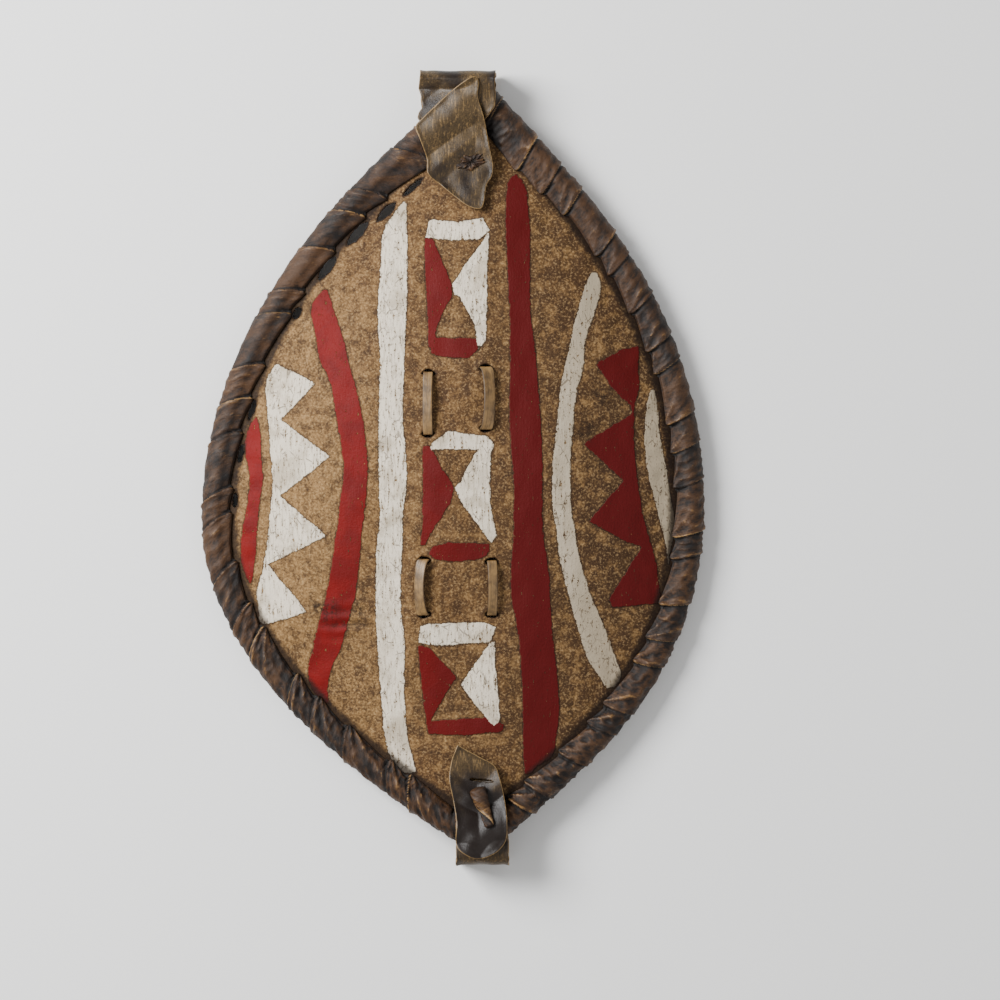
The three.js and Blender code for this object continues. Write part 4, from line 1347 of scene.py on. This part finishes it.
@dataclass
class RolledToggle:
    """A thong rolled up tight and pushed through the slit of the bottom leaf."""

    head: Pair = (19.0, -245.5)
    tail: Pair = (28.5, -276.0)
    head_radius: float = 7.4
    tail_radius: float = 3.4

    def build(self) -> bpy.types.Object:
        """Builds the roll, with a spiral edge and a curled head."""
        rings, size = 90, 40
        share = np.linspace(0, 1, rings)[:, None]
        azimuth = np.arange(size)[None, :] * 2 * math.pi / size
        head, tail = np.array(self.head), np.array(self.tail)
        along = (tail - head) / np.linalg.norm(tail - head)
        round_head = np.sqrt(np.clip(1 - np.maximum(0, 1 - share / 0.07) ** 2, 0.02, 1))
        end = round_head * np.sqrt(np.clip((1 - share) / 0.05, 0.02, 1))
        radius = (self.head_radius + (self.tail_radius - self.head_radius) * share**0.8) * end
        wrap = (azimuth / (2 * math.pi) + 0.9 * share + 0.1) % 1.0
        radius = radius * (0.86 + 0.2 * wrap) + 0.18 * np.sin(azimuth * 5 + share * 31)
        sideways, up = radius * np.cos(azimuth), radius * (1 + 0.85 * np.sin(azimuth)) * 0.72
        x = head[0] + (tail - head)[0] * share - along[1] * sideways
        y = head[1] + (tail - head)[1] * share + along[0] * sideways
        middle = head[None] + (tail - head)[None] * share
        base = strap_height(middle[:, 0], middle[:, 1])[:, None] + STRAP_THICKNESS / 2 + 3.2
        values = {
            "along": share * 34 + 0 * azimuth, "across": azimuth * 4 + 0 * share, "tone": 0.55 + 0 * radius,
            "relief": 1.6 * (wrap - 0.5) + 0 * radius, "cut_edge": bump(1 - wrap, 0.1) + 0 * radius,
            "shade": 0.75 * bump(wrap, 0.07) + 0 * radius}
        points = np.stack([x, y, base + up], axis=-1)
        return make_piece("rolled_toggle", points, loft_faces(rings, size), values)


@dataclass(frozen=True)
class ThongLeg:
    """One upright loop of thong on the face: its holes, and how far it bows sideways and rolls over."""

    x: float
    high: float
    low: float
    bow: float
    roll: float
    width: float = 7.6


@dataclass
class Lashing:
    """A thong that stands on the face as two legs, and crosses behind the stave between their holes."""

    name: str
    node: str
    left: ThongLeg
    right: ThongLeg
    stave: "GripStave"
    thickness: float = 2.0

    def build(self) -> bpy.types.Object:
        """Builds the thong as one closed loop."""
        spine, widths, normals, sizes = [], [], [], []

        def add(
            centre: Sequence[float], width: Sequence[float], normal: Sequence[float], size: float
        ) -> None:
            """Adds one place on the thong.

            Args:
                centre: the middle of the thong.
                width: the direction across it.
                normal: the direction out of its face.
                size: how wide it is.
            """
            spine.append(centre)
            widths.append(width)
            normals.append(normal)
            sizes.append([size])

        def face(x: float, y: float) -> float:
            """Height of the painted face."""
            return float(hide_height(np.array(x), np.array(y))) + HIDE_THICKNESS / 2

        def leg(part: ThongLeg, downwards: bool) -> None:
            """Adds the loop on the face.

            Args:
                part: the loop.
                downwards: whether the thong runs down it.
            """
            turn = 1 if downwards else -1
            steps = [(math.pi * i / 8) for i in range(9)]
            for angle in steps if downwards else reversed(steps):
                y = part.high + (part.low - part.high) * (1 - math.cos(angle)) / 2
                arch = math.sin(angle)
                roll = part.roll * arch
                add((part.x + part.bow * arch, y, face(part.x, y) + 1.6 + 3.8 * arch),
                    (turn * math.cos(roll), 0.0, turn * math.sin(roll)),
                    (-math.sin(roll) * arch, math.cos(angle), math.cos(roll) * arch + 0.02), part.width)

        def crossing(start: ThongLeg, end: ThongLeg, high: bool) -> None:
            """Adds the stretch behind the stave.

            Args:
                start, end: the two loops that it joins.
                high: whether it joins their upper ends.
            """
            step = math.copysign(1, end.x - start.x)
            outwards = (0.0, 1.0 if high else -1.0, 0.0)
            start_y, end_y = (start.high, end.high) if high else (start.low, end.low)
            under = min(self.stave.underside(start_y), self.stave.underside(end_y)) - 1.6
            reach = self.stave.width / 2 + 2.4
            add((start.x, start_y, face(start.x, start_y) - 3.4), (step, 0, 0), outwards, 7.0)
            for y, side in ((start_y, -1), (end_y, 1)):
                add((self.stave.middle_x(y) + side * step * reach, y, under), (0, -step, 0), (0, 0, -1), 7.4)
            add((end.x, end_y, face(end.x, end_y) - 3.4), (-step, 0, 0), outwards, 7.0)

        leg(self.left, True)
        crossing(self.left, self.right, False)
        leg(self.right, False)
        crossing(self.right, self.left, True)
        rings, size = 300, 16
        paths = (spine, widths, normals, sizes)
        centre, width, normal, wide = (through(path, rings, closed=True) for path in paths)
        width /= np.linalg.norm(width, axis=1, keepdims=True)
        normal -= width * (width * normal).sum(1, keepdims=True)
        normal /= np.linalg.norm(normal, axis=1, keepdims=True)
        azimuth = np.arange(size) * 2 * math.pi / size
        flat = np.sign(np.cos(azimuth)) * np.abs(np.cos(azimuth)) ** 0.55
        thick = np.sign(np.sin(azimuth)) * np.abs(np.sin(azimuth)) ** 0.7
        hollow = 0.35 * (flat**2 - 0.4)
        stand = thick * self.thickness / 2 + hollow
        points = (centre[:, None] + width[:, None] * (flat[None, :] * wide / 2)[..., None]
                  + normal[:, None] * (stand[None, :] * np.ones_like(wide))[..., None])
        travelled = np.concatenate([[0], np.cumsum(np.linalg.norm(np.diff(centre, axis=0), axis=1))])[:, None]
        grid = np.ones((rings, size))
        values = {
            "along": travelled * grid, "across": flat[None, :] * wide / 2 * grid,
            "shade": 0.7 * bump(1 - np.abs(flat[None, :]), 0.22) * grid * (thick[None, :] < 0.6)}
        return make_piece(self.name, points, loft_faces(rings, size, closed=True), values)

    def dress(self, piece: bpy.types.Object) -> None:
        """Stands the piece in for its lashing."""
        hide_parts(self.node)


@dataclass
class GripStave:
    """The carved stave behind the shield, in one piece with its bowed hand grip."""

    width: float = 24.0
    arm: float = 9.0
    end_thickness: float = 6.0
    half_length: float = 295.5
    grip_y: float = -22.0
    grip_half: float = 52.0
    grip_thickness: float = 13.0
    grip_underside: float = 2.5

    def middle_x(self, y: Array | float) -> Array:
        """The stave's sideways place: a natural stick, not quite straight."""
        share = (self.half_length - y) / (2 * self.half_length)
        return 3 + 19 * smoothstep((share - 0.58) / 0.42)

    def profile(self, y: Array | float) -> tuple[Array, Array, Array]:
        """The stave's thickness, the height of its middle and how far it is the grip.

        Args:
            y: heights on the shield.
        Returns:
            The three numbers at each height.
        """
        grip = 1 - smoothstep((np.abs(y - self.grip_y) / self.grip_half - 0.34) / 0.66)
        end = smoothstep((np.abs(y) - 200) / 45)
        arm = self.arm + (self.end_thickness - self.arm) * end
        thickness = arm + (self.grip_thickness - arm) * grip
        behind_hide = hide_height(self.middle_x(y), np.asarray(y, float)) - HIDE_THICKNESS / 2 - 1.2 - arm / 2
        under_rim = STRAP_THICKNESS + 0.4 + arm / 2
        height = behind_hide + (under_rim - behind_hide) * end
        on_grip = self.grip_underside + self.grip_thickness / 2
        return thickness, height + (on_grip - height) * grip, grip

    def underside(self, y: float) -> float:
        """The lowest that the stave reaches near a height on the shield."""
        near = y + np.array([-5.7, 0.0, 5.7])
        thickness, height, _ = self.profile(near)
        return float((height - thickness / 2).min())

    def build(self) -> bpy.types.Object:
        """Builds the stave with knife facets along its edges."""
        rings, size = 420, 28
        y = np.linspace(self.half_length, -self.half_length, rings)
        thickness, height, grip = self.profile(y)
        middle = np.column_stack([self.middle_x(y), y, height])
        ahead = np.gradient(middle, axis=0)
        ahead /= np.linalg.norm(ahead, axis=1, keepdims=True)
        sideways = np.array([1.0, 0.0, 0.0])
        up = np.cross(sideways, ahead)
        up *= np.sign(up[:, 2:])
        azimuth = np.arange(size) * 2 * math.pi / size
        power = (0.34 + 0.3 * grip)[:, None]
        flat = np.sign(np.cos(azimuth)) * np.abs(np.cos(azimuth)) ** power
        thick = np.sign(np.sin(azimuth)) * np.abs(np.sin(azimuth)) ** power
        place, around = np.broadcast_arrays(y[:, None], azimuth[None, :] * 9.0)
        facets = 0.3 * np.abs(np.sin(place / 11 + np.floor(around / 7) * 2.1)) - 0.25
        cuts = facets + 0.12 * ripple(place, around, 30, 41)
        half_width = (self.width / 2 * (1 - 0.12 * grip))[:, None] + cuts - 0.1
        half_thick = (thickness / 2)[:, None] + cuts * 0.7 - 0.1
        aside, above = (flat * half_width)[..., None], (thick * half_thick)[..., None]
        points = middle[:, None] + sideways * aside + up[:, None] * above
        values = {"handled": np.broadcast_to(grip[:, None], place.shape)}
        return make_piece("carved_stave", points, loft_faces(rings, size), values)

    def dress(self, piece: bpy.types.Object) -> None:
        """Stands the piece in for the stave."""
        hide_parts("grip_stave")
        CarvedHardwood("Carved hardwood", "stave_wood").dress(piece)


# ---------------------------------------------------------------- the studio


@dataclass
class Studio:
    """A white floor, a large soft light from the left, a faint fill, and a camera looking straight down."""

    camera_x: float = 0.0364
    camera_y: float = -0.0248
    camera_height: float = 3.5
    field: float = 0.774  # width of the view at the rim's height
    rim: float = 0.012

    def build(self) -> None:
        """Builds the floor, the lights and the camera."""
        mesh = bpy.data.meshes.new("studio_floor")
        half = 6.0
        corners = [(-half, -half, 0), (half, -half, 0), (half, half, 0), (-half, half, 0)]
        mesh.from_pydata(corners, [], [(0, 1, 2, 3)])
        floor = bpy.data.objects.new("studio_floor", mesh)
        bpy.context.scene.collection.objects.link(floor)
        StudioPaper("Studio paper", "").dress(floor)
        self._light("key", (-1.5, 0.75, 1.5), 1.1, 112.0)
        self._light("fill", (1.6, -0.6, 1.9), 1.6, 9.0)
        world = bpy.data.worlds.new("studio")
        world.use_nodes = True
        world.node_tree.nodes["Background"].inputs[0].default_value = (1.0, 1.0, 1.0, 1.0)
        world.node_tree.nodes["Background"].inputs[1].default_value = 0.5
        bpy.context.scene.world = world
        self._camera()

    def _light(self, name: str, place: tuple[float, float, float], size: float, power: float) -> None:
        """Adds a square soft light that faces the shield.

        Args:
            name: the light's name.
            place: where it stands, in metres.
            size: the length of its side, in metres.
            power: its power, in watts.
        """
        lamp = bpy.data.lights.new(name, "AREA")
        lamp.size = size
        lamp.energy = power
        holder = bpy.data.objects.new(name, lamp)
        holder.location = place
        holder.rotation_euler = (Vector((0.0, 0.0, 0.0)) - Vector(place)).to_track_quat("-Z", "Y").to_euler()
        bpy.context.scene.collection.objects.link(holder)

    def _camera(self) -> None:
        """Adds the camera, with a long lens straight above the shield."""
        lens = bpy.data.cameras.new("camera")
        lens.sensor_width = 36.0
        lens.lens = lens.sensor_width * (self.camera_height - self.rim) / self.field
        holder = bpy.data.objects.new("camera", lens)
        holder.location = (self.camera_x, self.camera_y, self.camera_height)
        bpy.context.scene.collection.objects.link(holder)
        bpy.context.scene.camera = holder


# ---------------------------------------------------------------- the shield


def report(piece: bpy.types.Object) -> None:
    """Logs one piece's size."""
    size = [round(d / MM, 1) for d in piece.dimensions]
    LOG.info("%s: %d faces, %s mm", piece.name, len(piece.data.polygons), size)


def main() -> None:
    """Builds the studio and the shield's pieces in order."""
    logging.basicConfig(level=logging.INFO, format="%(name)s: %(message)s")
    Studio().build()

    sheet = HideSheet()
    hide = sheet.build()
    sheet.dress(hide)
    report(hide)

    strip = GreasedHideStrip("Greased hide strip", "dark_hide_strip")
    dark = []
    for winding in (
        Winding(
            "wound_strip_left", "rim_winding_left", LEFT, seed=11,
            gather=((0, 0.58, 0.68, 1), (0.35, 0.4, 1.35, 1.5)), slant=18.0),
        Winding(
            "wound_strip_right", "rim_winding_right", RIGHT, seed=23,
            gather=((0, 0.55, 0.7, 1), (1.0, 1.0, 1.6, 1.7)), slant=-9.0),
    ):
        piece = winding.build()
        winding.dress(piece)
        dark.append(piece)
    knot = ShrunkenKnot().build()
    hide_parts("top_knot")
    toggle = RolledToggle().build()
    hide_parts("bottom_toggle")
    dark += [knot, toggle]
    strip.dress(*dark)

    straps = []
    for part in (
        ApexBand(
            "top_band", "top_strap", 1, (
                (236, -16, 18), (251, -19, 20), (262, -22, 22), (270, -27, 27), (278, -24, 32),
                (292, -26, 33)),
            (-25, 33), ((290, -25, 32), (275, -24, 31), (242, -20, 28)), seed=51),
        Leaf(
            "top_tongue", "top_strap", (
                (21, 199), (12, 201), (1.5, 208.5), (-10, 218), (-19, 226), (-20, 238), (-25, 252),
                (-28.5, 262), (-22, 269.5), (-10, 281), (2, 291.5), (16, 300), (20, 296), (19.5, 284),
                (24, 269), (28.5, 246), (31, 232), (30, 224), (26, 217), (24, 204)),
            seed=53, rise=3.0, dark=(240, 225), dark_tone=0.4),
        ApexBand(
            "bottom_band", "bottom_strap", -1, ((-240, 4, 34), (-262, 3, 40), (-275, 3, 42), (-292, 2.5, 43)),
            (2.5, 43), ((-290, 3, 43), (-275, 3, 42), (-242, 6, 38)), seed=57),
        Leaf(
            "bottom_leaf", "bottom_strap", (
                (6.4, -214.5), (4.6, -212.4), (2.8, -215.5), (-1, -226), (-2.5, -240), (0.5, -256),
                (3, -272), (3, -290), (12, -298), (20, -300), (28, -298), (36, -293), (41.5, -284),
                (41.5, -266), (39, -250), (36, -238), (32, -229), (20, -222)),
            seed=59, rise=3.0, dark=(-222, -258), dark_tone=0.9, slit=Slit(21, -240.5, 21, 1.8, -0.08)),
    ):
        piece = part.build()
        part.dress(piece)
        straps.append(piece)
    SmoothStrapHide("Smooth strap hide", "strap_hide").dress(*straps)

    stave = GripStave()
    thongs = []
    for lashing in (
        Lashing(
            "upper_thong", "upper_lashing", ThongLeg(-18.6, 72.5, 26, -0.5, 0.1),
            ThongLeg(25.5, 76.5, 30, 3.0, -0.5, 9.5), stave),
        Lashing(
            "lower_thong", "lower_lashing", ThongLeg(-22, -71, -112.5, -3.5, 0.6, 9.0),
            ThongLeg(30, -72, -112.5, 1.0, -0.3), stave),
    ):
        piece = lashing.build()
        lashing.dress(piece)
        thongs.append(piece)
    TwistedThong("Twisted thong", "thong_hide").dress(*thongs)
    carved = stave.build()
    stave.dress(carved)

    sticks = [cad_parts[name] for name in ("rim_stick_left", "rim_stick_right")]
    for stick in sticks:
        numbers = np.zeros(len(stick.data.vertices), np.float32)
        stick.data.attributes.new("handled", "FLOAT", "POINT").data.foreach_set("value", numbers)
    CarvedHardwood("Bent stick", "rim_wood", heart="#6a4c2c", late="#47311c").dress(*sticks)

    for piece in dark + straps + thongs + [carved]:
        report(piece)


if __name__ == "__main__":
    main()
